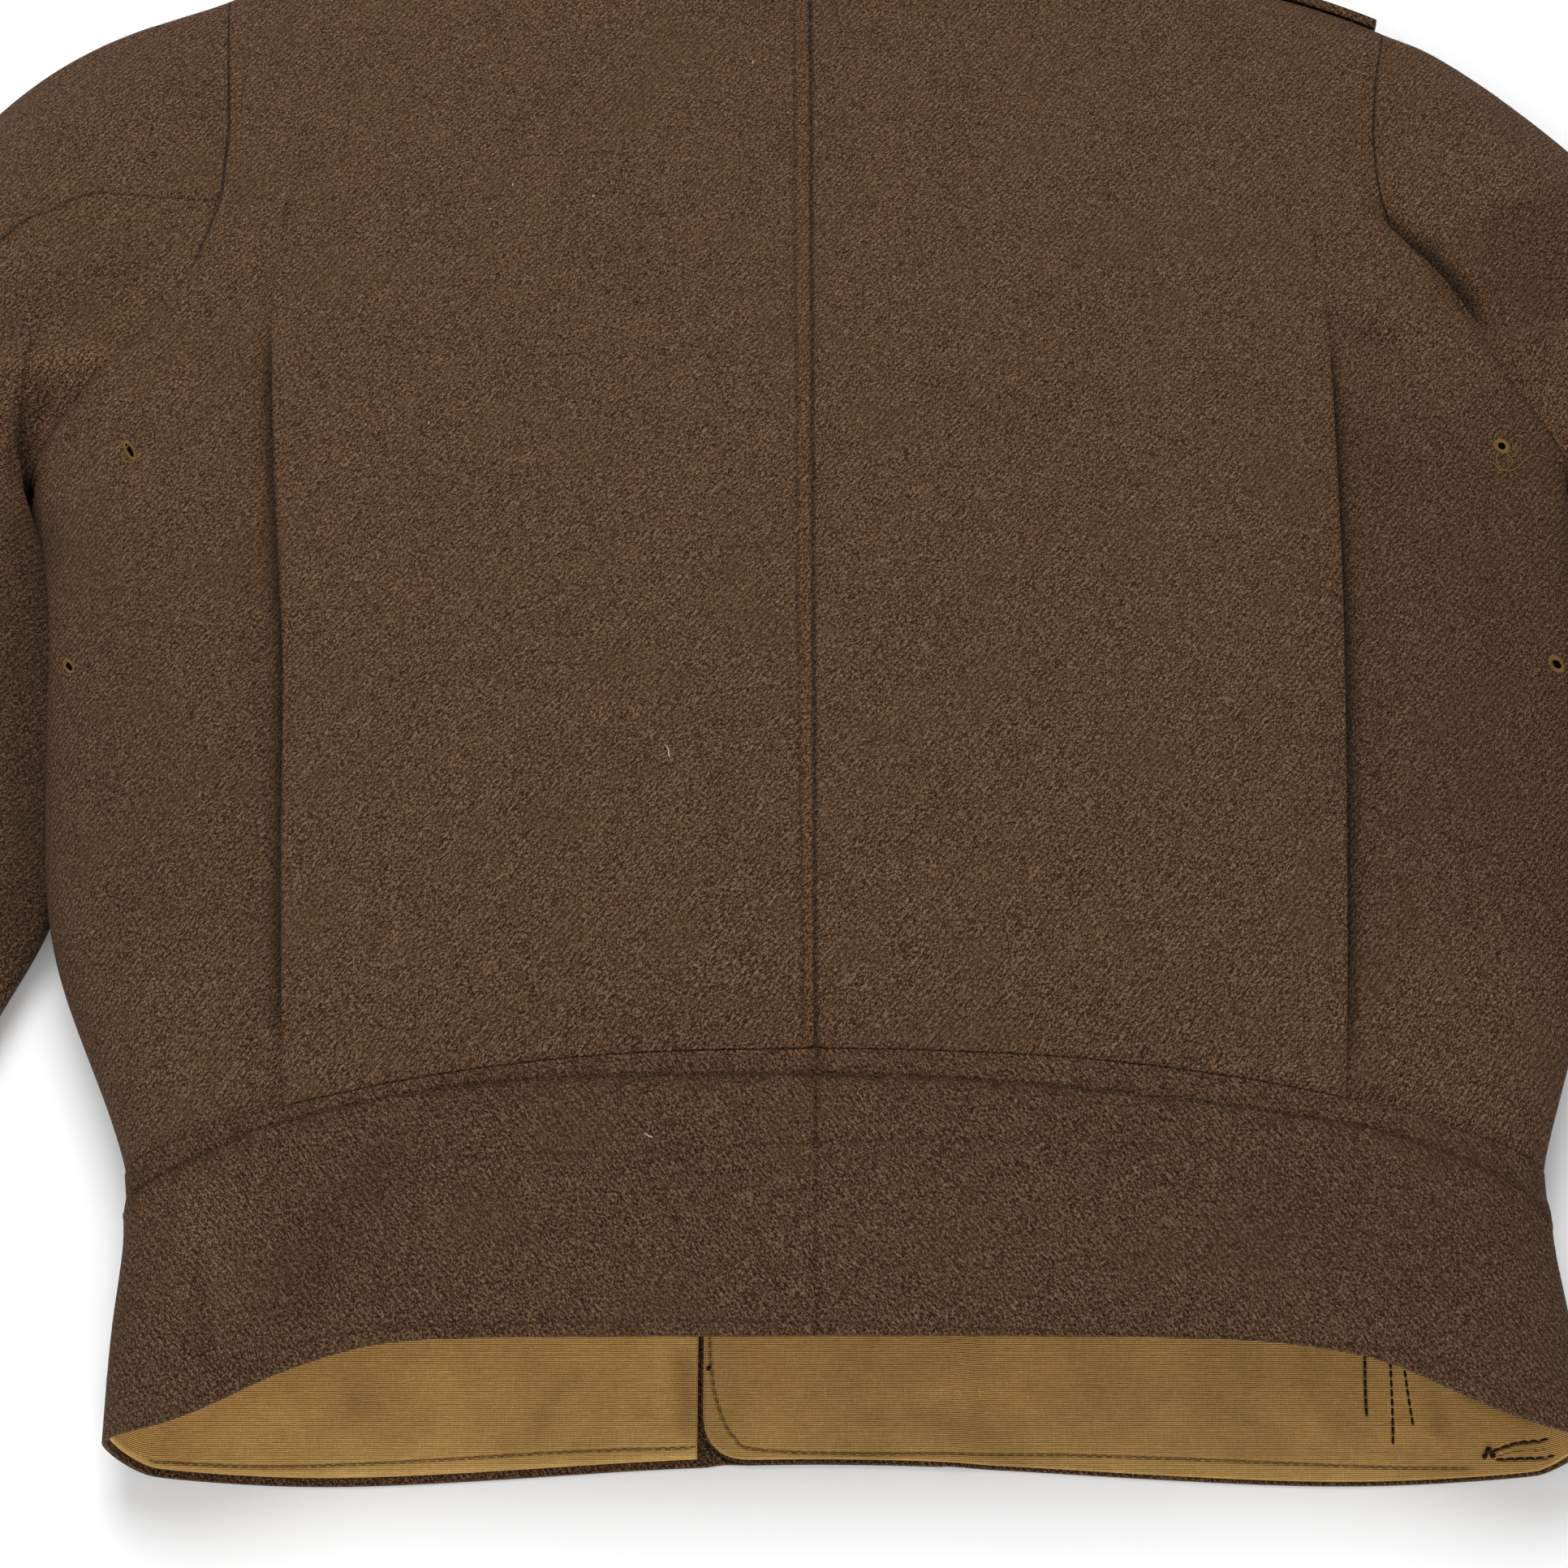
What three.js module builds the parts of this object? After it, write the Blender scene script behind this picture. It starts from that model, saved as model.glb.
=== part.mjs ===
// Battle dress jacket of khaki wool, lying face down on a flat surface, back up.
// Millimetres. X runs to the picture's right, Y from the hem to the collar, Z up from the surface.
// Every piece of cloth is a wall of constant thickness round a middle surface. The middle surface is
// worked out row by row: rows run across the garment, from the centre to the side or to the armhole.
import * as THREE from "three";

// Cloth
const WOOL = 1.6; // thickness of one layer of wool
const DRILL = 1.0; // thickness of the waistband's lining
const TWO_PLY = 2.4; // thickness of the collar
const STRAP_PLY = 3.2; // thickness of a shoulder strap, two layers of wool
const SEAM_GAP = 0.3; // space between two pieces at a seam
const LAYER = 2.0; // from the middle of one layer of wool to the next, when they lie on each other
const REST = WOOL / 2; // height of the middle of a wool layer that lies on the surface

// Place of the garment's footprint: its middle becomes the part's origin
const FOOTPRINT = { x: -2.5, y: 309.7 };

// Waistband
const HEM_SET_BACK = 22.8; // how far the back hem lies behind the front hem, at the centre back
const HEM_BOW = 8; // how far the front hem bows towards the viewer, at the sides
const HEM_BOW_AT = 0.8; // share of the half width where the front hem bows most
const WAIST_SEAM_BACK = 114; // Y of the band's upper edge at the centre back
const WAIST_SEAM_SIDE = 87; // Y of the band's upper edge at the side
const WAIST_LAP = 8; // how far the band lies over the lower edge of the blouse
const LAP_LEFT_END = 40; // X where the left front and band end, underneath
const LAP_RIGHT_END = -36.6; // X where the right front and band end, on the inside
const RAMP_START = LAP_LEFT_END + 1.5; // where the right front starts to come down from the overlap
const LAP_RAMP = 12; // and the width over which it does
const LINING_LEFT_END = -37.4;
const BAND_CORNER = 15; // radius of the rounded corner on the right band's end

// Neck
const NECK_BACK_Y = 600;
const NECK_FRONT_Y = 535;
const SHOULDER_EDGE = 15; // height of the shoulder line above the surface
const SHOULDER_ROUND = 22; // width over which the cloth turns over the shoulder line
const NECK_LIFT = 4.2; // how far the fronts lie off the surface near the neck, over the collar
const NECK_LIFT_FROM = 395;
const NECK_LIFT_TO = 430;

// Side folds
const FOLD_HEIGHT = 0.42; // height of the widest point, as a share of the garment's height there
const FOLD_UNDER = 14; // width of the turn from the widest point to the flat underside
const SEAM_TURN = Math.PI / 4; // how far round that turn the side seam lies

// Knife pleats of the back
const PLEAT_DEPTH = 13;
const PLEAT_BEND = 1; // middle radius of a fold's bend
const PLEAT_STEPS = 3; // steps round each bend

// Height of the back above the surface, along the garment
const HEIGHTS = [
  { y: -10, height: 59 },
  { y: 25, height: 60 },
  { y: 100, height: 64 },
  { y: 150, height: 67 },
  { y: 260, height: 62 },
  { y: 400, height: 52 },
  { y: 480, height: 44 },
  { y: 560, height: 35 },
  { y: 640, height: 30 },
];

// Each side of the garment: the shoulder line, the outline of the body, the pleat, the armholes
const LEFT = {
  name: "left",
  sign: -1,
  tip: { x: 220, y: 566 },
  neck: { x: 80, y: 606 },
  outline: [
    { y: -10, x: 221 },
    { y: 40, x: 221 },
    { y: 85, x: 219 },
    { y: 142, x: 240 },
    { y: 171, x: 252 },
    { y: 246, x: 260 },
    { y: 310, x: 265 },
    { y: 330, x: 271 },
    { y: 352, x: 276 },
    { y: 400, x: 283 },
    { y: 480, x: 292 },
    { y: 600, x: 300 },
  ],
  pleat: [
    { y: 80, x: 167, depth: 1, turn: 1 },
    { y: 261, x: 178, depth: 1, turn: 1 },
    { y: 345, x: 187, depth: 1, turn: 1 },
    { y: 392, x: 191, depth: 0, turn: 1 },
    { y: 418, x: 192, depth: 0, turn: 0 },
    { y: 600, x: 184, depth: 0, turn: 0 },
  ],
  // The armhole's edges, and how far the seam sinks below the cloth beside it
  armholeBack: [
    { y: 357, x: 276, sink: 2.5 },
    { y: 368, x: 271.5, sink: 4 },
    { y: 385, x: 257.5, sink: 3 },
    { y: 405, x: 237, sink: 1.5 },
    { y: 424, x: 222.5, sink: 1 },
    { y: 455, x: 213.5, sink: 0.8 },
    { y: 490, x: 213.5, sink: 0.5 },
    { y: 566, x: 220, sink: 0 },
  ],
  armholeFront: [
    { y: 357, x: 262 },
    { y: 368, x: 254 },
    { y: 385, x: 240 },
    { y: 405, x: 222 },
    { y: 424, x: 209 },
    { y: 455, x: 203 },
    { y: 490, x: 204 },
    { y: 566, x: 220 },
  ],
  // Sleeve sections, from the shoulder to the wrist: the outer and the inner edge, the height, and
  // the back seam's place as a share of the way from the inner to the outer edge
  backSeam: 0.25,
  sleeve: [
    { outerX: 236, outerY: 557, innerX: 284, innerY: 350, height: 43, seam: 0.43 },
    { outerX: 264, outerY: 543, innerX: 282, innerY: 336, height: 45, seam: 0.465 },
    { outerX: 296, outerY: 521, innerX: 275, innerY: 314, height: 45, seam: 0.55 },
    { outerX: 330, outerY: 470, innerX: 270, innerY: 287, height: 44, seam: 0.58 },
    { outerX: 363, outerY: 400, innerX: 265.5, innerY: 255, height: 41, seam: 0.55 },
    { outerX: 390, outerY: 322, innerX: 262.5, innerY: 218, height: 38, seam: 0.5 },
    { outerX: 414, outerY: 242, innerX: 260, innerY: 180, height: 35, seam: 0.5 },
    { outerX: 435, outerY: 163, innerX: 275, innerY: 134, height: 32, seam: 0.5 },
    { outerX: 450, outerY: 88, innerX: 302, innerY: 62, height: 29, seam: 0.5 },
  ],
  cuffEnd: { outerX: 462, outerY: 14, innerX: 331, innerY: -9, height: 25, seam: 0.5 },
  liningSetBack: 2.2, // from the wool's hem to the lining's edge
};
const RIGHT = {
  name: "right",
  sign: 1,
  tip: { x: 216, y: 549 },
  neck: { x: 74, y: 597 },
  outline: [
    { y: -10, x: 240 },
    { y: 40, x: 237 },
    { y: 88, x: 232 },
    { y: 125, x: 244 },
    { y: 160, x: 253 },
    { y: 246, x: 261.5 },
    { y: 310, x: 265 },
    { y: 352, x: 267 },
    { y: 400, x: 273 },
    { y: 480, x: 288 },
    { y: 600, x: 300 },
  ],
  pleat: [
    { y: 80, x: 166, depth: 1, turn: 1 },
    { y: 261, x: 178, depth: 1, turn: 1 },
    { y: 335, x: 181, depth: 1, turn: 1 },
    { y: 380, x: 182, depth: 0, turn: 1 },
    { y: 406, x: 182, depth: 0, turn: 0 },
    { y: 600, x: 178, depth: 0, turn: 0 },
  ],
  armholeBack: [
    { y: 357, x: 267, sink: 0 },
    { y: 370, x: 258, sink: 1.5 },
    { y: 385, x: 248, sink: 4 },
    { y: 399, x: 239.5, sink: 6 },
    { y: 414, x: 231, sink: 7 },
    { y: 432, x: 219, sink: 5.5 },
    { y: 449, x: 205.5, sink: 2 },
    { y: 482, x: 205.5, sink: 0.8 },
    { y: 512, x: 209, sink: 0.8 },
    { y: 549, x: 216, sink: 0 },
  ],
  armholeFront: [
    { y: 357, x: 253 },
    { y: 370, x: 246 },
    { y: 385, x: 237 },
    { y: 399, x: 228 },
    { y: 414, x: 219 },
    { y: 432, x: 208 },
    { y: 449, x: 199 },
    { y: 482, x: 199 },
    { y: 512, x: 205 },
    { y: 549, x: 216 },
  ],
  backSeam: 0.126,
  sleeve: [
    { outerX: 231, outerY: 540, innerX: 275, innerY: 350, height: 42, seam: 0.2 },
    { outerX: 256, outerY: 517, innerX: 274, innerY: 335, height: 44, seam: 0.28 },
    { outerX: 284, outerY: 488, innerX: 272, innerY: 311, height: 44, seam: 0.38 },
    { outerX: 319, outerY: 440, innerX: 269.5, innerY: 282, height: 43, seam: 0.46 },
    { outerX: 352, outerY: 374, innerX: 267.5, innerY: 249, height: 40, seam: 0.5 },
    { outerX: 381, outerY: 299, innerX: 265, innerY: 213, height: 37, seam: 0.5 },
    { outerX: 406, outerY: 220, innerX: 264, innerY: 175, height: 34, seam: 0.5 },
    { outerX: 428, outerY: 146, innerX: 279, innerY: 128, height: 31, seam: 0.5 },
    { outerX: 444, outerY: 74, innerX: 302, innerY: 56, height: 28, seam: 0.5 },
  ],
  cuffEnd: { outerX: 457, outerY: 2, innerX: 331, innerY: -16, height: 24, seam: 0.5 },
  liningSetBack: 0.9,
};

// Rows of the blouse: share of the way from the waist seam to the shoulder line
const ROW_SIDE_Y = [87, 112, 142, 178, 220, 262, 300, 330, 352];
const SHOULDER_ROWS = [22, 13, 6, 2, 0.15]; // distance of the last rows from the shoulder line

// Sleeves
const ARMPIT_ROOM = 3.6; // how much further the sleeve stands off the body at the armpit
const SINK_ROOM = 0.55; // and where the armhole's seam sinks, for a depth of 1
const FRONT_SEAM = 0.78; // place of the front seam, underneath, as a share of the way round
const SLEEVE_SECTIONS = [0, 0.3, 0.65, 1, 1.5, 2, 3, 4, 5, 6, 7, 8, 9];
const CUFF_SECTIONS = [0, 0.5, 1];

// Collar
const STAND_HEIGHT = 27;
const COLLAR_ROLL = 2.4; // middle radius of the fold between stand and fall
const FALL_BACK = 42; // how far the fall reaches past the neck seam, at the back and the shoulder
const FALL_FRONT = 50;
const COLLAR_ENDS = 0.05; // share of the half neck left open at the centre front
const NECK_COLUMNS = [0.3, 0.56, 0.73, 0.82, 0.9]; // shares of the half neck with a column each
const NECK_POINT_COLUMN = 0.975; // the collar's last column before the neck point

// Shoulder straps
const STRAP_FROM = 0.02; // along the shoulder line, from its outer tip
const STRAP_TO = 0.57;
const STRAP_POINT = 14; // length of the strap's pointed end
const STRAP_OVER = 5; // how far the strap lies over the back, past the shoulder line
const STRAP_UNDER = 30; // and how far it lies under the front
const STRAP_SPACE = 0.8; // between the strap and the shoulder

const khaki = new THREE.MeshStandardMaterial({ color: 0x5a4330, roughness: 0.95, metalness: 0 });
const tan = new THREE.MeshStandardMaterial({ color: 0x806135, roughness: 0.9, metalness: 0 });

const { abs, cos, hypot, max, min, sin, sqrt, PI } = Math;
const mix = (a, b, t) => a + (b - a) * t;
const clamp01 = (t) => min(max(t, 0), 1);
const smooth = (from, to, x) => {
  const t = clamp01((x - from) / (to - from));
  return t * t * (3 - 2 * t);
};

// Value of a table's column at a place along it: a smooth curve through the rows.
function follow(rows, along, column, at) {
  const last = rows.length - 1;
  if (at <= rows[0][along]) return rows[0][column];
  if (at >= rows[last][along]) return rows[last][column];
  let i = 0;
  while (rows[i + 1][along] < at) i++;
  const slope = (k) => {
    const low = rows[max(k - 1, 0)];
    const high = rows[min(k + 1, last)];
    return (high[column] - low[column]) / (high[along] - low[along]);
  };
  const span = rows[i + 1][along] - rows[i][along];
  const t = (at - rows[i][along]) / span;
  const bend = t * t * (3 - 2 * t);
  return (
    mix(rows[i][column], rows[i + 1][column], bend) +
    span * (t * (1 - t) ** 2 * slope(i) - t * t * (1 - t) * slope(i + 1))
  );
}

// The same with straight lines between the rows, for what must not overshoot.
function between(rows, along, column, at) {
  const last = rows.length - 1;
  if (at <= rows[0][along]) return rows[0][column];
  if (at >= rows[last][along]) return rows[last][column];
  let i = 0;
  while (rows[i + 1][along] < at) i++;
  const t = (at - rows[i][along]) / (rows[i + 1][along] - rows[i][along]);
  return mix(rows[i][column], rows[i + 1][column], t);
}

const sideOf = (x) => (x < 0 ? LEFT : RIGHT);
const halfWidth = (side, y) => follow(side.outline, "y", "x", y);
const heightAt = (y) => follow(HEIGHTS, "y", "height", y);

// Lines across the garment, as Y for a signed X
const waistBackY = (x) => {
  const share = abs(x) / halfWidth(sideOf(x), WAIST_SEAM_SIDE);
  return WAIST_SEAM_BACK + (WAIST_SEAM_SIDE - WAIST_SEAM_BACK) * share ** 2.2;
};
const hemBackY = (x) => {
  const width = halfWidth(sideOf(x), 0);
  return HEM_SET_BACK * (1 - smooth(0.6 * width, 0.93 * width, abs(x)));
};
const hemFrontY = (x) => {
  const share = min(abs(x) / halfWidth(sideOf(x), 0), 1);
  if (share < HEM_BOW_AT) return -HEM_BOW * sin(((PI / 2) * share) / HEM_BOW_AT) ** 2;
  return -HEM_BOW * (1 - ((share - HEM_BOW_AT) / (1 - HEM_BOW_AT)) ** 2);
};
function shoulderY(x) {
  const { neck, tip } = sideOf(x);
  const t = min((abs(x) - neck.x) / (tip.x - neck.x), 1);
  return neck.y + (tip.y - neck.y) * (0.85 * t + 0.15 * max(t, 0) ** 6);
}
const topBackY = (x) => {
  const { neck } = sideOf(x);
  return abs(x) < neck.x ? mix(NECK_BACK_Y, neck.y, (x / neck.x) ** 2) : shoulderY(x);
};
const topFrontY = (x) => {
  const { neck } = sideOf(x);
  return abs(x) < neck.x
    ? mix(NECK_FRONT_Y, neck.y, (abs(x) / neck.x) ** 2.4)
    : shoulderY(x);
};

// How far a place has come away from the shoulder line: 0 on the line, 1 where the cloth is flat.
function pastShoulder(x, y) {
  const { neck } = sideOf(x);
  const slope = 0.93; // cosine of the shoulder line's slope
  const away =
    abs(x) < neck.x
      ? hypot(neck.x - abs(x), (neck.y - y) * slope)
      : (shoulderY(x) - y) * slope;
  const t = clamp01(away / SHOULDER_ROUND);
  return sqrt(1 - (1 - t) ** 2);
}

// Heights of the middle surface: the back on top, the fronts underneath
function backHeight(x, y, width) {
  const top = heightAt(y);
  const fold = FOLD_HEIGHT * top;
  const share = min(abs(x) / width, 1);
  const open = fold + (top - fold) * sqrt(1 - share ** 3);
  return mix(SHOULDER_EDGE, open, pastShoulder(x, y));
}
function frontHeight(x, y) {
  const flat = REST + NECK_LIFT * smooth(NECK_LIFT_FROM, NECK_LIFT_TO, y);
  return mix(SHOULDER_EDGE, flat, pastShoulder(x, y));
}

// Points along a line at equal shares of its length; shares run from 0 to 1.
function spread(line, shares) {
  const run = [0];
  for (let i = 1; i < line.length; i++) run.push(run[i - 1] + line[i].distanceTo(line[i - 1]));
  return shares.map((share) => {
    const at = share * run[line.length - 1];
    let i = 0;
    while (i < line.length - 2 && run[i + 1] < at) i++;
    const t = clamp01((at - run[i]) / (run[i + 1] - run[i] || 1));
    return line[i].clone().lerp(line[i + 1], t);
  });
}
const even = (count) => Array.from({ length: count + 1 }, (_, i) => i / count);

// The next point of a row that lies elsewhere: a faded pleat's points all lie in one place.
function neighbour(row, j, step, tube) {
  const count = row.length;
  for (let k = j + step; tube || (k >= 0 && k < count); k += step) {
    const point = row[(k + count) % count];
    if (point.distanceTo(row[j]) > SAME_POINT) return point;
  }
  return row[j];
}
const SAME_POINT = 0.01;

// Directions out of the cloth at each point of a grid. A tube's rows close on themselves.
function normalsOf(grid, outward, tube = false) {
  const rows = grid.length;
  return grid.map((row, i) =>
    row.map((_, j) => {
      const across = neighbour(row, j, 1, tube).clone().sub(neighbour(row, j, -1, tube));
      const along = grid[min(i + 1, rows - 1)][j].clone().sub(grid[max(i - 1, 0)][j]);
      return across.cross(along).setLength(outward);
    }),
  );
}

// One wall: a grid of middle points made thick along its normals and closed at its rims.
function wall(name, grid, thickness, outward, material, { tube = false, normals } = {}) {
  const rows = grid.length;
  const columns = grid[0].length;
  const directions = normals ?? normalsOf(grid, outward, tube);
  const positions = [];
  for (const face of [0.5, -0.5])
    grid.forEach((row, i) =>
      row.forEach((point, j) => {
        const moved = point.clone().addScaledVector(directions[i][j], face * thickness);
        positions.push(moved.x, moved.y, moved.z);
      }),
    );
  const index = [];
  const at = (face, i, j) => (face * rows + i) * columns + (j % columns);
  const quad = (a, b, c, d) =>
    outward > 0 ? index.push(a, b, c, a, c, d) : index.push(a, c, b, a, d, c);
  const last = tube ? columns : columns - 1;
  for (let i = 0; i < rows - 1; i++)
    for (let j = 0; j < last; j++) {
      quad(at(0, i, j), at(0, i, j + 1), at(0, i + 1, j + 1), at(0, i + 1, j));
      quad(at(1, i, j), at(1, i + 1, j), at(1, i + 1, j + 1), at(1, i, j + 1));
    }
  const end = rows - 1;
  for (let j = 0; j < last; j++) {
    quad(at(0, 0, j), at(1, 0, j), at(1, 0, j + 1), at(0, 0, j + 1));
    quad(at(0, end, j + 1), at(1, end, j + 1), at(1, end, j), at(0, end, j));
  }
  if (!tube)
    for (let i = 0; i < rows - 1; i++) {
      quad(at(0, i + 1, 0), at(1, i + 1, 0), at(1, i, 0), at(0, i, 0));
      quad(at(0, i, last), at(1, i, last), at(1, i + 1, last), at(0, i + 1, last));
    }
  const geometry = new THREE.BufferGeometry();
  geometry.setAttribute("position", new THREE.Float32BufferAttribute(positions, 3));
  geometry.setIndex(index);
  geometry.computeVertexNormals();
  const mesh = new THREE.Mesh(geometry, material);
  mesh.name = name;
  return mesh;
}

// Moves a grid out along its normals, by a distance that may change from place to place.
function movedOut(grid, outward, distance) {
  const normals = normalsOf(grid, outward);
  return grid.map((row, i) =>
    row.map((point, j) => point.clone().addScaledVector(normals[i][j], distance(i, j))),
  );
}

// The side fold below its widest point: turn 0 is the widest point, PI / 2 the flat underside.
function foldPoint(side, sideY, turn, lift = 0) {
  const width = halfWidth(side, sideY);
  const fold = FOLD_HEIGHT * heightAt(sideY);
  return {
    x: side.sign * (width - FOLD_UNDER * (1 - cos(turn))),
    z: fold - (fold - REST - lift) * sin(turn),
  };
}

// How far the blouse lies off the surface where it meets the band underneath
const overBand = (sideY) => LAYER * (1 - smooth(0, 26, sideY - WAIST_SEAM_SIDE));

// Rows of one side of the blouse, as shares of the way from the waist seam to the shoulder line
function rowShares(side) {
  const span = side.tip.y - WAIST_SEAM_SIDE;
  const share = ({ y }) => (y - WAIST_SEAM_SIDE) / span;
  const low = ROW_SIDE_Y.map((y) => share({ y }));
  const armhole = side.armholeBack.slice(0, -1).map(share);
  const high = SHOULDER_ROWS.map((distance) => 1 - distance / span);
  return [-WAIST_LAP / span, ...low, ...armhole, ...high];
}
const ARMPIT_ROW = ROW_SIDE_Y.length; // index of the row that meets the armhole's lowest point
const ARMPIT_Y = ROW_SIDE_Y[ARMPIT_ROW - 1];
const isAboveArmpit = (sideY) => sideY > ARMPIT_Y + 1;

// Shares of a line's length at each of its points
function lengthShares(line) {
  const run = [0];
  for (let i = 1; i < line.length; i++) run.push(run[i - 1] + line[i].distanceTo(line[i - 1]));
  return run.map((length) => length / run[line.length - 1]);
}

// Columns of the back between the centre seam and the pleat; one of them meets the neck point.
function centreColumns(side, pleatX) {
  const neckShare = side.neck.x / (between(side.pleat, "y", "x", side.tip.y) - PLEAT_BEND);
  const shares = [0, 0.4, 0.72, 0.9, 1].map((t) => t * neckShare);
  for (const t of [0.14, 0.38, 0.68, 1]) shares.push(mix(neckShare, 1, t));
  return shares.map((share) => mix(SEAM_GAP / 2, pleatX, share));
}

// Where the pleat of one row starts, how deep it is and how far its folds turn
function pleatAt(side, sideY) {
  return {
    x: follow(side.pleat, "y", "x", sideY) - PLEAT_BEND,
    depth: PLEAT_DEPTH * clamp01(between(side.pleat, "y", "depth", sideY)),
    turn: PI * clamp01(between(side.pleat, "y", "turn", sideY)),
  };
}

// One row of the back, from the centre seam over the pleat to the side seam or the armhole.
function backRow(side, share, sideShares) {
  const { sign } = side;
  const sideY = mix(WAIST_SEAM_SIDE, side.tip.y, share);
  const width = halfWidth(side, sideY);
  const rowY = (x) => mix(waistBackY(sign * x), topBackY(sign * x), share);
  const place = (x, z) => new THREE.Vector3(sign * x, rowY(x), z);
  const height = (x) => backHeight(sign * x, rowY(x), width);

  const pleat = pleatAt(side, sideY);
  const row = centreColumns(side, pleat.x).map((x) => place(x, height(x)));
  const start = { x: pleat.x, z: height(pleat.x) };
  const slope = height(pleat.x + 1) - start.z;
  const bent = (x, z) => place(x, z + slope * (x - start.x));
  const bend = even(PLEAT_STEPS).map((t) => t * pleat.turn);
  for (const a of bend.slice(1))
    row.push(bent(start.x + PLEAT_BEND * sin(a), start.z - PLEAT_BEND * (1 - cos(a))));
  const inmost = {
    x: start.x + PLEAT_BEND * sin(pleat.turn) - pleat.depth,
    z: start.z - PLEAT_BEND * (1 - cos(pleat.turn)),
  };
  for (const a of bend)
    row.push(
      bent(
        inmost.x + PLEAT_BEND * (sin(pleat.turn) - sin(pleat.turn - a)),
        inmost.z - PLEAT_BEND * (cos(pleat.turn - a) - cos(pleat.turn)),
      ),
    );
  const root = row[row.length - 1];
  const rootX = abs(root.x);
  const drop = height(rootX) - root.z;
  const dropped = (x) => {
    const fade = 1 - smooth(pleat.x + 3, mix(pleat.x, width, 0.8), x);
    return place(x, height(x) - drop * fade);
  };

  if (isAboveArmpit(sideY)) {
    const endX = min(follow(side.armholeBack, "y", "x", sideY), width);
    const line = even(40).map((t) => dropped(mix(rootX, endX, sin((t * PI) / 2))));
    const toArmhole = spread(line, sideShares);
    toArmhole[toArmhole.length - 1].z -= between(side.armholeBack, "y", "sink", sideY);
    return [...row, ...toArmhole];
  }
  for (const t of SIDE_COLUMNS) row.push(dropped(mix(rootX, width, sin((t * PI) / 2))));
  for (const t of TURN_COLUMNS) {
    const point = foldPoint(side, sideY, t * SEAM_TURN, overBand(sideY));
    row.push(new THREE.Vector3(point.x, rowY(width), point.z));
  }
  return row;
}
const SIDE_COLUMNS = [0.2, 0.4, 0.6, 0.8, 1];
const TURN_COLUMNS = [1 / 3, 2 / 3, 1];

function backGrid(side) {
  const shares = rowShares(side);
  const armpit = backRow(side, shares[ARMPIT_ROW]);
  const first = armpit.length - SIDE_COLUMNS.length - TURN_COLUMNS.length - 1;
  const sideShares = lengthShares(armpit.slice(first)).slice(1);
  return shares.map((share) => backRow(side, share, sideShares));
}

// One row of a front, from its free edge under the garment to the side seam or the armhole.
function frontRow(side, share) {
  const inner = side === RIGHT;
  const freeEnd = inner ? LAP_RIGHT_END : LAP_LEFT_END;
  const sideY = mix(WAIST_SEAM_SIDE, side.tip.y, share);
  const width = halfWidth(side, sideY);
  const rowY = (x) => mix(WAIST_SEAM_SIDE, topFrontY(x), share);
  const place = (x) => {
    const y = rowY(x);
    const overlap = inner ? innerLift(x, y) : 0;
    return new THREE.Vector3(x, y, frontHeight(x, y) + overlap + overBand(sideY));
  };
  const toNeck = underColumns(side, freeEnd);
  if (isAboveArmpit(sideY)) {
    const endX = min(follow(side.armholeFront, "y", "x", sideY), width);
    const toArmhole = ARMHOLE_COLUMNS.map((t) => side.sign * mix(side.neck.x, endX, t));
    return [...toNeck, ...toArmhole].map(place);
  }
  const toTurn = WIDE_COLUMNS.map((t) => side.sign * mix(side.neck.x, width - FOLD_UNDER, t));
  const row = [...toNeck, ...toTurn].map(place);
  for (const turn of [(5 * PI) / 12, PI / 3, SEAM_TURN + SEAM_GAP / FOLD_UNDER]) {
    const point = foldPoint(side, sideY, turn, overBand(sideY));
    row.push(new THREE.Vector3(point.x, rowY(side.sign * width), point.z));
  }
  return row;
}
const ARMHOLE_COLUMNS = [0.25, 0.5, 0.7, 0.85, 0.95, 1];
const WIDE_COLUMNS = [0.3, 0.65, 1];

// Columns of a front or a band underneath, from its free end to the width of the neck. They meet
// the collar's own columns, and on the right side the ramp down from the overlap.
function underColumns(side, freeEnd) {
  const { sign, neck } = side;
  const own = [...NECK_COLUMNS, 1].map((share) => sign * share * neck.x);
  const rampMiddle = side === RIGHT ? [RAMP_START + LAP_RAMP / 2] : [];
  const beyond = [0, ...own, ...rampMiddle].filter((x) => sign * (x - freeEnd) > 1);
  const crossing = sign * freeEnd < 0 ? [mix(freeEnd, 0, 0.4)] : [];
  return [freeEnd, ...crossing, ...beyond].sort((one, two) => sign * (one - two));
}

// How far the right front and band lie off the surface, on top of the left ones
function innerLift(x, y) {
  const overEdge = smooth(58, 72, y) * (1 - smooth(0, 26, y - WAIST_SEAM_SIDE));
  const nearNeck = smooth(NECK_LIFT_FROM - 40, NECK_LIFT_FROM, y);
  const layers = LAYER * (1 + overEdge + 0.5 * nearNeck);
  return layers * (1 - smooth(RAMP_START, RAMP_START + LAP_RAMP, x));
}

const frontGrid = (side) => rowShares(side).map((share) => frontRow(side, share));

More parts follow.
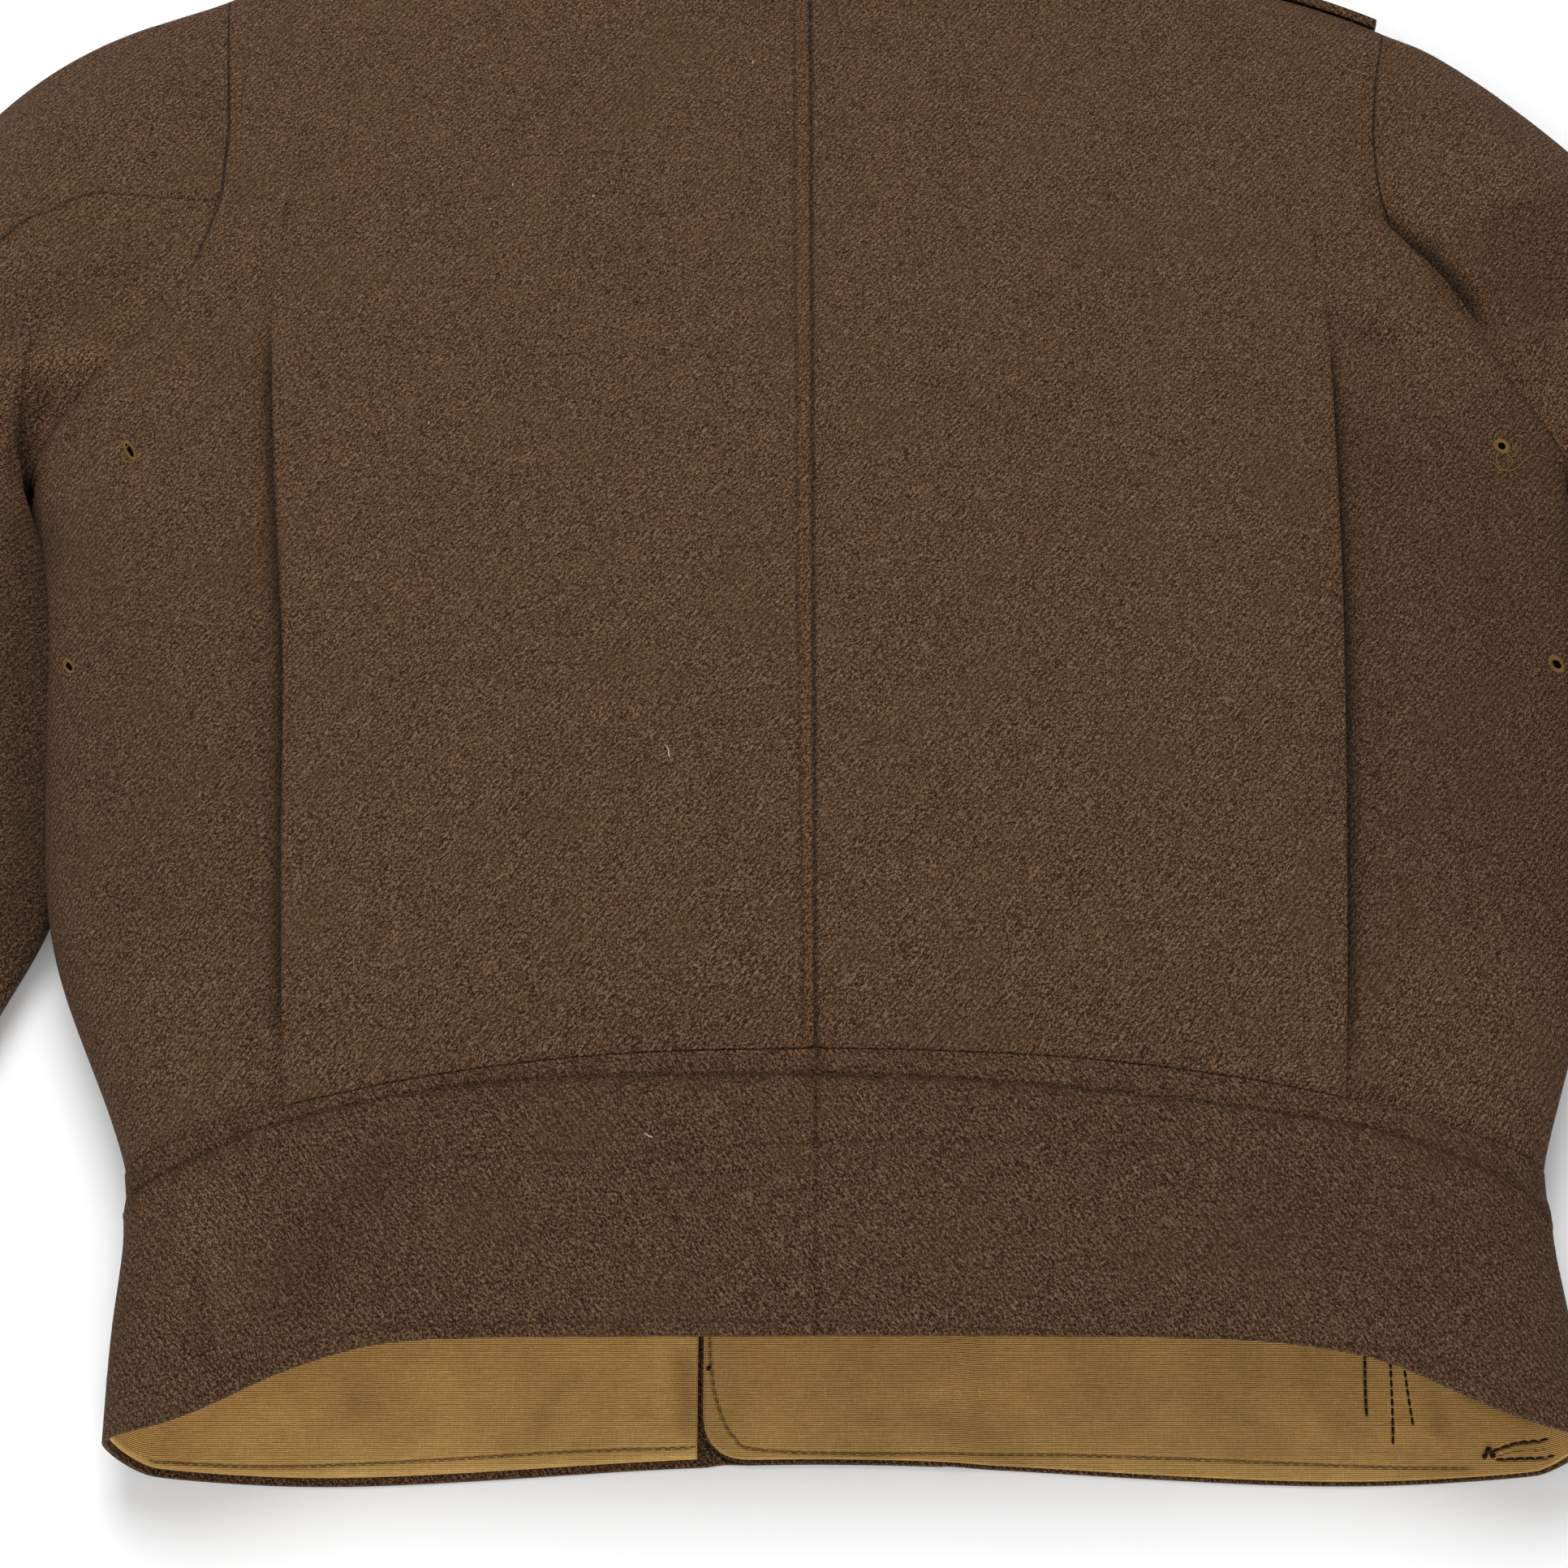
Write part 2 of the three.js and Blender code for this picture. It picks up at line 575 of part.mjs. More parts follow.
// Waistband: one row between the hem (0) and the band's upper edge (1), from the centre back round
// the side to the free end underneath. The end may have a rounded corner at the hem.
function bandRow(side, share, freeEnd, corner = 0) {
  const { sign } = side;
  const sideY = mix(-1, WAIST_SEAM_SIDE, share);
  const width = halfWidth(side, sideY);
  const waistWidth = halfWidth(side, WAIST_SEAM_SIDE);
  const backY = (x) => mix(hemBackY(x), waistBackY(x), share);
  const frontY = (x) => mix(hemFrontY(x), WAIST_SEAM_SIDE, share);
  const pleat = pleatAt(side, WAIST_SEAM_SIDE);
  const rootX = pleat.x - pleat.depth;
  const sides = SIDE_COLUMNS.map((t) => mix(rootX, waistWidth, sin((t * PI) / 2)));
  const beyond = sides.filter((x) => x > pleat.x + 3);
  const columns = [...centreColumns(side, pleat.x), ...beyond].map((x) => {
    const y = backY(sign * x);
    return new THREE.Vector3((sign * x * width) / waistWidth, y, 0);
  });
  for (const point of columns) point.z = backHeight(point.x, point.y, width);
  for (const turn of even(6).slice(1)) {
    const point = foldPoint(side, sideY, (turn * PI) / 2);
    columns.push(new THREE.Vector3(point.x, frontY(point.x), point.z));
  }
  const up = share * WAIST_SEAM_SIDE;
  const cut = up < corner ? corner - sqrt(corner ** 2 - (corner - up) ** 2) : 0;
  const toTurn = WIDE_COLUMNS.slice(0, -1).map((t) => sign * mix(side.neck.x, width - FOLD_UNDER, t));
  for (const x of [...underColumns(side, freeEnd + sign * cut), ...toTurn].reverse()) {
    const overlap = side === RIGHT ? innerLift(x, frontY(x)) : 0;
    columns.push(new THREE.Vector3(x, frontY(x), REST + overlap));
  }
  return columns;
}

function bandPieces(side) {
  const inner = side === RIGHT;
  const outward = side.sign;
  const freeEnd = inner ? LAP_RIGHT_END : LAP_LEFT_END;
  const corner = inner ? BAND_CORNER : 0;
  const liningFrom = side.liningSetBack / WAIST_SEAM_SIDE;
  const cornerShares = inner ? [0.06, 0.12] : [];
  const liningShares = [liningFrom, ...cornerShares, 0.18, 0.45, 0.72, 0.84];
  const shares = [0, ...liningShares, 1 - WAIST_LAP / WAIST_SEAM_SIDE, 1];
  const rows = shares.map((share) => bandRow(side, share, freeEnd, corner));
  const under = rows[0].length - underColumns(side, freeEnd).length - WIDE_COLUMNS.length + 1;
  const overBlouse = (i, j) => (j < under ? LAYER * smooth(0.74, 0.84, shares[i]) : 0);
  const outer = movedOut(rows, outward, overBlouse);
  for (const row of outer) for (const point of row) point.z = max(point.z, REST);
  const band = wall(`waistband_${side.name}`, outer, WOOL, outward, khaki);

  const liningEnd = inner ? LAP_RIGHT_END + side.liningSetBack : LINING_LEFT_END;
  const lining = liningShares.map((share) =>
    bandRow(side, share, liningEnd, max(corner - side.liningSetBack, 0)),
  );
  const inside = WOOL / 2 + SEAM_GAP + DRILL / 2;
  const inset = movedOut(lining, outward, () => -inside);
  return [band, wall(`waistband_lining_${side.name}`, inset, DRILL, outward, tan)];
}

// Sleeve: the armhole's two edges give the first ring, the table of sections the rest.
function armholeRing(side, back, front) {
  const last = back.length - 1;
  const backNormals = normalsOf(back, side.sign);
  const frontNormals = normalsOf(front, -side.sign);
  const shares = rowShares(side);
  const edge = (grid, normals, i, sink) => ({
    point: grid[i][grid[i].length - 1],
    normal: normals[i][grid[i].length - 1],
    sink,
  });
  const join = (a, b) => ({
    point: a.point.clone().lerp(b.point, 0.5),
    normal: a.normal.clone().add(b.normal).normalize(),
    sink: 0,
  });
  const sinkAt = (i) =>
    between(side.armholeBack, "y", "sink", mix(WAIST_SEAM_SIDE, side.tip.y, shares[i]));
  const onBack = (i) => edge(back, backNormals, i, sinkAt(i));
  const onFront = (i) => edge(front, frontNormals, i, 0);
  const ring = [join(onBack(ARMPIT_ROW), onFront(ARMPIT_ROW))];
  for (let i = ARMPIT_ROW + 1; i < last; i++) ring.push(onBack(i));
  ring.push(join(onBack(last), onFront(last)));
  for (let i = last - 1; i > ARMPIT_ROW; i--) ring.push(onFront(i));
  // Away from the panel: across both the cloth's normal and the armhole's own direction
  return ring.map(({ point, normal, sink }, j) => {
    const next = ring[(j + 1) % ring.length].point;
    const before = ring[(j + ring.length - 1) % ring.length].point;
    const tangent = next.clone().sub(before).normalize();
    const nearArmpit = max(0, 1 - min(j, ring.length - j) / 4);
    const away = SEAM_GAP + ARMPIT_ROOM * nearArmpit + SINK_ROOM * sqrt(sink);
    return point.clone().addScaledVector(tangent.cross(normal).normalize(), side.sign * away);
  });
}

function sleevePoint(side, section, around) {
  const { outerX, outerY, innerX, innerY, height, seam } = section;
  const across = -cos(2 * PI * around); // -1 at the inner edge, 1 at the outer edge
  const round = (across + 1) / 2;
  const seamRound = (1 - cos(2 * PI * side.backSeam)) / 2;
  const near = round < seamRound ? round / seamRound : (1 - round) / (1 - seamRound);
  const t = around <= 0.5 ? round + (seam - seamRound) * near : round;
  const fold = FOLD_HEIGHT * height;
  const z =
    around <= 0.5
      ? fold + (height - fold) * sqrt(max(0, 1 - abs(across) ** 2.6))
      : fold - (fold - REST) * sqrt(max(0, 1 - abs(across) ** 5));
  return new THREE.Vector3(side.sign * mix(innerX, outerX, t), mix(innerY, outerY, t), z);
}

// A smooth curve through the points of one column, from ring to ring.
function alongRings(points, at) {
  const last = points.length - 1;
  const i = min(Math.floor(at), last - 1);
  const t = at - i;
  const slope = (k) => {
    const low = max(k - 1, 0);
    const high = min(k + 1, last);
    return points[high].clone().sub(points[low]).divideScalar(high - low);
  };
  return points[i]
    .clone()
    .lerp(points[i + 1], t * t * (3 - 2 * t))
    .addScaledVector(slope(i), t * (1 - t) ** 2)
    .addScaledVector(slope(i + 1), -t * t * (1 - t));
}

function sleevePieces(side, back, front) {
  const start = armholeRing(side, back, front);
  const count = start.length;
  const half = count / 2;
  const halfway = lengthShares(start.slice(0, half + 1)).map((share) => share / 2);
  const homeward = lengthShares([...start.slice(half), start[0]]).map((share) => 0.5 + share / 2);
  const around = [...halfway, ...homeward.slice(1, -1)];
  const grid = SLEEVE_SECTIONS.map((at) =>
    start.map((first, j) => {
      const column = [first, ...side.sleeve.map((section) => sleevePoint(side, section, around[j]))];
      const point = alongRings(column, at);
      point.z = max(point.z, REST);
      return point;
    }),
  );
  const outward = side.sign;
  const normals = normalsOf(grid, outward, true);
  const nearest = (share) => {
    const distance = around.map((value) => abs(value - share));
    return distance.indexOf(min(...distance));
  };
  const backSeam = nearest(side.backSeam);
  const frontSeam = nearest(FRONT_SEAM);
  // The edges of the two sleeve pieces stand a little way from the seam line.
  const piece = (name, from, to) => {
    const columns = Array.from({ length: to - from + 1 }, (_, j) => (from + j) % count);
    const points = grid.map((row) => {
      const strip = columns.map((j) => row[j].clone());
      const last = strip.length - 1;
      for (const [end, next] of [[0, 1], [last, last - 1]]) {
        const inward = strip[next].clone().sub(strip[end]).setLength(1.5 * SEAM_GAP);
        strip[end].add(inward);
      }
      return strip;
    });
    const directions = normals.map((row) => columns.map((j) => row[j]));
    return wall(`${name}_${side.name}`, points, WOOL, outward, khaki, { normals: directions });
  };
  const upper = piece("upper_sleeve", backSeam, frontSeam);
  const under = piece("under_sleeve", frontSeam, backSeam + count);

  const wrist = side.sleeve[side.sleeve.length - 1];
  const end = side.cuffEnd;
  const length = hypot(end.outerX - wrist.outerX, end.outerY - wrist.outerY);
  const cuffGrid = CUFF_SECTIONS.map((share) => {
    const t = mix((2 * SEAM_GAP) / length, 1, share);
    const section = {};
    for (const key of Object.keys(wrist)) section[key] = mix(wrist[key], end[key], t);
    return around.map((value) => sleevePoint(side, section, value));
  });
  const cuff = wall(`cuff_${side.name}`, cuffGrid, WOOL, outward, khaki, { tube: true });
  return [upper, under, cuff];
}

// Collar: a stand round the neck, rolled over into a fall that lies on the back and under the fronts.
function collarColumn(sign, share, onTop) {
  const side = sign < 0 ? LEFT : RIGHT;
  const { neck, tip } = side;
  const x = sign * neck.x * share;
  const face = onTop ? 1 : -1;
  const neckY = onTop ? topBackY(x) : topFrontY(x);
  const width = halfWidth(side, neckY);
  const bodyHeight = (px, py) => (onTop ? backHeight(px, py, width) : frontHeight(px, py));
  const neckZ = bodyHeight(x, neckY);
  const round = pastShoulder(x, neckY);
  const offset = 2 * COLLAR_ROLL;
  const slope = Math.atan2(0.85 * (neck.y - tip.y), tip.x - neck.x);
  const turn = (PI / 2 - slope) * share ** 2;
  const seam = SEAM_GAP + 0.5 + 1.6 * (1 - round);
  const out = (t, flat) => {
    const sideways = new THREE.Vector3(sign, 0, 0);
    const offLine = new THREE.Vector3(sign * sin(slope), cos(slope), 0);
    sideways.lerp(offLine, t).normalize().multiplyScalar(sqrt(1 - flat * flat));
    return sideways.setZ(face * flat);
  };
  const points = [0, 1].map(
    (t) => new THREE.Vector3(x, neckY + mix(seam, STAND_HEIGHT, t), neckZ),
  );
  const top = points[1];
  for (const a of [PI / 3, (2 * PI) / 3])
    points.push(
      top
        .clone()
        .addScaledVector(out(0, round), COLLAR_ROLL * (1 - cos(a)))
        .add(new THREE.Vector3(0, COLLAR_ROLL * sin(a), 0)),
    );
  const reach = onTop ? FALL_BACK : mix(FALL_FRONT, FALL_BACK, share ** 2);
  const start = new THREE.Vector2(x, neckY + STAND_HEIGHT);
  const knee = new THREE.Vector2(x, neckY);
  const end = new THREE.Vector2(x + sign * reach * sin(turn), neckY - reach * cos(turn));
  for (const t of [0, 0.25, 0.5, 0.75, 1]) {
    const px = (1 - t) ** 2 * start.x + 2 * t * (1 - t) * knee.x + t * t * end.x;
    const py = (1 - t) ** 2 * start.y + 2 * t * (1 - t) * knee.y + t * t * end.y;
    const over = py > neckY;
    const flat = over ? round : pastShoulder(px, py);
    const z = over ? neckZ : bodyHeight(px, py);
    points.push(new THREE.Vector3(px, py, z).addScaledVector(out(t, flat), offset));
  }
  return points;
}

function collar() {
  const half = (sign) => {
    const shares = [...NECK_COLUMNS, NECK_POINT_COLUMN];
    const front = [COLLAR_ENDS, ...shares].map((share) => collarColumn(sign, share, false));
    const back = [1, ...shares.reverse(), 0].map((share) => collarColumn(sign, share, true));
    return [...front, ...back];
  };
  const columns = [...half(-1), ...half(1).reverse().slice(1)];
  const rows = columns[0].map((_, i) => columns.map((column) => column[i]));
  for (const row of rows) for (const point of row) point.z = max(point.z, TWO_PLY / 2);
  return wall("collar", rows, TWO_PLY, 1, khaki);
}

// Shoulder strap: wraps the shoulder line, from a little over the back to under the front.
function shoulderStrap(side) {
  const { neck, tip, sign } = side;
  const offset = WOOL / 2 + STRAP_SPACE + STRAP_PLY / 2;
  const slope = Math.atan2(neck.y - tip.y, tip.x - neck.x);
  const point = (t, distance) => {
    const lineX = mix(tip.x, neck.x, t);
    const lineY = shoulderY(sign * lineX);
    const inward = abs(distance);
    const x = lineX - inward * sin(slope);
    const y = lineY - inward * cos(slope);
    const onTop = distance > 0;
    const z = onTop ? backHeight(sign * x, y, halfWidth(side, y)) : frontHeight(sign * x, y);
    const flat = pastShoulder(sign * x, y);
    const edge = sqrt(1 - flat * flat);
    return new THREE.Vector3(
      sign * (x + offset * edge * sin(slope)),
      y + offset * edge * cos(slope),
      z + (onTop ? 1 : -1) * offset * flat,
    );
  };
  const distances = [STRAP_OVER, 1.5, 0, -1.5, -5, -10, -16, -STRAP_UNDER];
  const grid = even(7).map((t) => {
    const at = mix(STRAP_FROM, STRAP_TO, t);
    return distances.map((distance, j) => {
      const middle = 1 - abs((2 * j) / (distances.length - 1) - 1);
      const pointed = t > 0.9 ? (STRAP_POINT * middle) / hypot(tip.x - neck.x, tip.y - neck.y) : 0;
      const place = point(at + pointed, distance);
      place.z = max(place.z, STRAP_PLY / 2);
      return place;
    });
  });
  return wall(`shoulder_strap_${side.name}`, grid, STRAP_PLY, sign, khaki);
}

const jacket = new THREE.Group();
for (const side of [LEFT, RIGHT]) {
  const back = backGrid(side);
  const front = frontGrid(side);
  jacket.add(wall(`back_${side.name}`, back, WOOL, side.sign, khaki));
  jacket.add(wall(`front_${side.name}`, front, WOOL, -side.sign, khaki));
  jacket.add(...bandPieces(side));
  jacket.add(...sleevePieces(side, back, front));
  jacket.add(shoulderStrap(side));
}
jacket.add(collar());
jacket.position.set(-FOOTPRINT.x, -FOOTPRINT.y, 0);

export default jacket;
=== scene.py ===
"""Battle dress jacket of khaki wool, lying face down on a pale table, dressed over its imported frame."""

import logging
import math
import random
from dataclasses import dataclass, field
from enum import Enum

import bmesh
import bpy
import numpy as np
from mathutils import Matrix, Vector, noise
from mathutils.bvhtree import BVHTree


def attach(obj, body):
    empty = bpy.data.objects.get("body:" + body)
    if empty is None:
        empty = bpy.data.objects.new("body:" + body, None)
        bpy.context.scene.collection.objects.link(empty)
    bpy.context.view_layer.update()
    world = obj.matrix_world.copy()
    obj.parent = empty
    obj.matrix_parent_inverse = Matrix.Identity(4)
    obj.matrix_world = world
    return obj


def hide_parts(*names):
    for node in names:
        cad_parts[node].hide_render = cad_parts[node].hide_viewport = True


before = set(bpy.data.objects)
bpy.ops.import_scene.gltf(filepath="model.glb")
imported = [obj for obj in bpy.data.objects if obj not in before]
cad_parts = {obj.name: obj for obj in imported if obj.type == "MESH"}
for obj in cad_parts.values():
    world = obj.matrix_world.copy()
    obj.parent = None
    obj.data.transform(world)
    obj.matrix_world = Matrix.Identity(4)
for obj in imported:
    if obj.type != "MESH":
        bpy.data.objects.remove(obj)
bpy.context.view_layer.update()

log = logging.getLogger("jacket")

# Meshes are in metres; patterns, reaches and heights are in millimetres.
MM = 0.001

# Heights above the table.
BELOW_ALL = -20.0
LOWER_SIDE = 9.0
LINING_CEILING = 20.0
UPPER_SIDE = 22.0
ABOVE_ALL = 200.0

# The distance from one stitch to the next, and how far a row of stitches draws the cloth in.
STITCH_PITCH = 3.1
ROW_REACH = 3.0

# How far the shade of a folded edge reaches.
EDGE_REACH = 8.0

# How far from a seam the cloth is drawn to its neighbour, how far it laps over it,
# and how far off a neighbour is sought.
SEAM_REACH = 6.0
SEAM_LAP = 0.15
SEAM_SEARCH = 14.0

Link = "Signal | float | tuple | bpy.types.NodeSocket"
Triple = tuple[float, float, float]
Finishes = dict[str, bpy.types.Material]
Trees = dict[str, BVHTree]


class Side(Enum):
    """The jacket's two sides, as worn, with the sign of their X."""

    LEFT = -1
    RIGHT = 1

    @property
    def word(self) -> str:
        """The side's name, as the frame's nodes spell it."""
        return self.name.lower()

    @property
    def opposite(self) -> "Side":
        """The other side."""
        return Side(-self.value)


class Lean(Enum):
    """Which way the ribs of a twill lean, seen from the face of the cloth."""

    RISING = 1
    FALLING = -1


class Flank(Enum):
    """On which flank of its line a fold lies."""

    BOTH = 0
    LEFT = 1
    RIGHT = -1


def smooth(low: float, high: float, value: np.ndarray) -> np.ndarray:
    """A soft step from 0 at low to 1 at high.

    Args:
        low: value where the step starts.
        high: value where it ends.
        value: the values to judge.

    Returns:
        The step's height for each value.
    """
    share = np.clip((value - low) / (high - low), 0.0, 1.0)
    return share * share * (3.0 - 2.0 * share)


def bell(away: np.ndarray, width: float) -> np.ndarray:
    """A smooth hump: 1 in its middle, and about a third at its width."""
    return np.exp(-((away / width) ** 2))


def evaluated(data: bpy.types.ID, levels: int = 0) -> bpy.types.Mesh:
    """Turns a curve into its mesh, or divides a mesh smoothly.

    Args:
        data: the curve or the mesh.
        levels: how many times it is divided.

    Returns:
        The new mesh.
    """
    rough = bpy.data.objects.new("rough", data)
    bpy.context.collection.objects.link(rough)
    if levels:
        division = rough.modifiers.new("fine", "SUBSURF")
        division.levels = division.render_levels = levels
    graph = bpy.context.evaluated_depsgraph_get()
    mesh = bpy.data.meshes.new_from_object(rough.evaluated_get(graph))
    bpy.data.objects.remove(rough)
    return mesh


def add_piece(name: str, mesh: bpy.types.Mesh, finish: bpy.types.Material) -> bpy.types.Object:
    """Makes a mesh a piece that rides with the jacket.

    Args:
        name: the piece's name.
        mesh: its mesh, in its place.
        finish: its material.

    Returns:
        The piece.
    """
    mesh.materials.clear()
    mesh.materials.append(finish)
    piece = bpy.data.objects.new(name, mesh)
    bpy.context.collection.objects.link(piece)
    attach(piece, "root")
    log.info("%s: %d faces", name, len(mesh.polygons))
    return piece


class Signal:
    """A number on its way through a material, which takes part in ordinary arithmetic."""

    def __init__(self, shader: "Shader", socket: bpy.types.NodeSocket) -> None:
        """Keeps the material and the socket that carries the number."""
        self.shader = shader
        self.socket = socket

    def calculate(self, operation: str, *others: Link, swapped: bool = False) -> "Signal":
        """Adds one Math node.

        Args:
            operation: the Math node's operation.
            others: its further values.
            swapped: puts this signal second, for the reflected operators.

        Returns:
            The node's result.
        """
        values = [self, *others]
        if swapped:
            values.reverse()
        node = self.shader.node("ShaderNodeMath", dict(enumerate(values)), operation=operation)
        return Signal(self.shader, node.outputs[0])

    def __add__(self, other: Link) -> "Signal":
        """Sum."""
        return self.calculate("ADD", other)

    __radd__ = __add__

    def __sub__(self, other: Link) -> "Signal":
        """Difference."""
        return self.calculate("SUBTRACT", other)

    def __rsub__(self, other: Link) -> "Signal":
        """Difference, the other way round."""
        return self.calculate("SUBTRACT", other, swapped=True)

    def __mul__(self, other: Link) -> "Signal":
        """Product."""
        return self.calculate("MULTIPLY", other)

    __rmul__ = __mul__

    def __truediv__(self, other: Link) -> "Signal":
        """Quotient."""
        return self.calculate("DIVIDE", other)

    def __abs__(self) -> "Signal":
        """Size without sign."""
        return self.calculate("ABSOLUTE")

    def wave(self) -> "Signal":
        """A wave from 0 to 1 whose period is 1."""
        return (self * math.tau).calculate("COSINE") * 0.5 + 0.5

    def step(self, low: float, high: float) -> "Signal":
        """A soft step from 0 at low to 1 at high; high may lie below low."""
        values = {"Value": self, "From Min": low, "From Max": high}
        node = self.shader.node("ShaderNodeMapRange", values, interpolation_type="SMOOTHSTEP", clamp=True)
        return Signal(self.shader, node.outputs[0])


class Shader:
    """One material under construction."""

    def __init__(self, name: str) -> None:
        """Starts a material with a Principled surface."""
        self.material = bpy.data.materials.new(name)
        self.material.use_nodes = True
        self.tree = self.material.node_tree
        self.surface = self.tree.nodes["Principled BSDF"]

    def node(self, kind: str, values: dict | None = None, **settings: object) -> bpy.types.Node:
        """Adds any node.

        Args:
            kind: the node's type.
            values: what its sockets get, by name or number: a number, a colour or a link.
            settings: its properties, set first.

        Returns:
            The node.
        """
        node = self.tree.nodes.new(kind)
        for name, value in settings.items():
            setattr(node, name, value)
        for key, value in (values or {}).items():
            self.feed(node.inputs[key], value)
        return node

    def feed(self, socket: bpy.types.NodeSocket, value: Link) -> None:
        """Sets a socket, or links it."""
        if isinstance(value, Signal):
            value = value.socket
        if isinstance(value, bpy.types.NodeSocket):
            self.tree.links.new(value, socket)
        elif isinstance(value, tuple) and len(value) == 3 and socket.type == "RGBA":
            socket.default_value = (*value, 1.0)
        else:
            socket.default_value = value

    def place(self) -> tuple[bpy.types.NodeSocket, Signal, Signal]:
        """Object coordinates in millimetres: the whole vector, then its X and its Y."""
        whole = self.node("ShaderNodeTexCoord").outputs["Object"]
        where = self.shade(whole, 1 / MM)
        parts = self.node("ShaderNodeSeparateXYZ", {0: where}).outputs
        return where, Signal(self, parts[0]), Signal(self, parts[1])

    def noise(self, where: Link, pitch: float, detail: float = 2.0, rough: float = 0.5) -> Signal:
        """Soft noise.

        Args:
            where: coordinates in millimetres.
            pitch: size of its lumps, in millimetres.
            detail: how many finer layers it has.
            rough: how strong they are.

        Returns:
            The noise, about 0.5 on average.
        """
        values = {"Vector": where, "Scale": 1 / pitch, "Detail": detail, "Roughness": rough}
        return Signal(self, self.node("ShaderNodeTexNoise", values).outputs[0])

    def read(self, attribute: str) -> Signal:
        """A number that the piece's mesh carries at each of its points."""
        return Signal(self, self.node("ShaderNodeAttribute", attribute_name=attribute).outputs["Fac"])

    def stretched(self, where: Link, scale: Triple, turn: float = 0.0) -> bpy.types.NodeSocket:
        """Coordinates turned about Z and then scaled, for a pattern with a direction."""
        turned = self.node("ShaderNodeMapping", {"Vector": where, "Rotation": (0.0, 0.0, turn)}).outputs[0]
        return self.node("ShaderNodeMapping", {"Vector": turned, "Scale": scale}).outputs[0]

    def blend(self, share: Link, low: Link, high: Link) -> bpy.types.NodeSocket:
        """Mixes two colours: low at 0, high at 1."""
        return self.node("ShaderNodeMix", {0: share, 6: low, 7: high}, data_type="RGBA").outputs[2]

    def shade(self, colour: Link, strength: Link) -> bpy.types.NodeSocket:
        """Scales a colour or a vector by a factor."""
        return self.node("ShaderNodeVectorMath", {0: colour, "Scale": strength}, operation="SCALE").outputs[0]

    def sewing(self) -> tuple[Signal, Signal, Signal]:
        """The grooves that sewing leaves: at the seams, along the rows, and under each stitch.

        Returns:
            Three signals from 0 to 1.
        """
        seam = self.read("seam").step(1.9, 0.2) * self.read("seam_depth")
        across = abs(self.read("across"))
        depth = self.read("row_depth")
        rows = across.step(1.3, 0.1) * depth
        stitches = (self.read("along") / STITCH_PITCH).wave().step(0.25, 0.6)
        dash = across.step(0.7, 0.25) * stitches * depth
        return seam, rows, dash

    def folded_edge(self) -> Signal:
        """The painted shade beside a crisp folded edge, from 0 to 1."""
        out = self.read("edge")
        near = out.step(EDGE_REACH, 0.0)
        return out.step(-0.3, 0.3) * near * near * self.read("edge_depth")

    def finish(
        self, colour: Link, height: Link, depth: float, roughness: float, gloss: float = 0.2
    ) -> bpy.types.Material:
        """Connects the surface.

        Args:
            colour: its base colour.
            height: its relief, from 0 to 1.
            depth: how deep the relief is, in metres.
            roughness: its roughness.
            gloss: how strongly it mirrors light.

        Returns:
            The material.
        """
        bump = self.node("ShaderNodeBump", {"Strength": 1.0, "Distance": depth, "Height": height})
        self.feed(self.surface.inputs["Base Color"], colour)
        self.feed(self.surface.inputs["Normal"], bump.outputs[0])
        self.surface.inputs["Roughness"].default_value = roughness
        self.surface.inputs["Specular IOR Level"].default_value = gloss
        return self.material


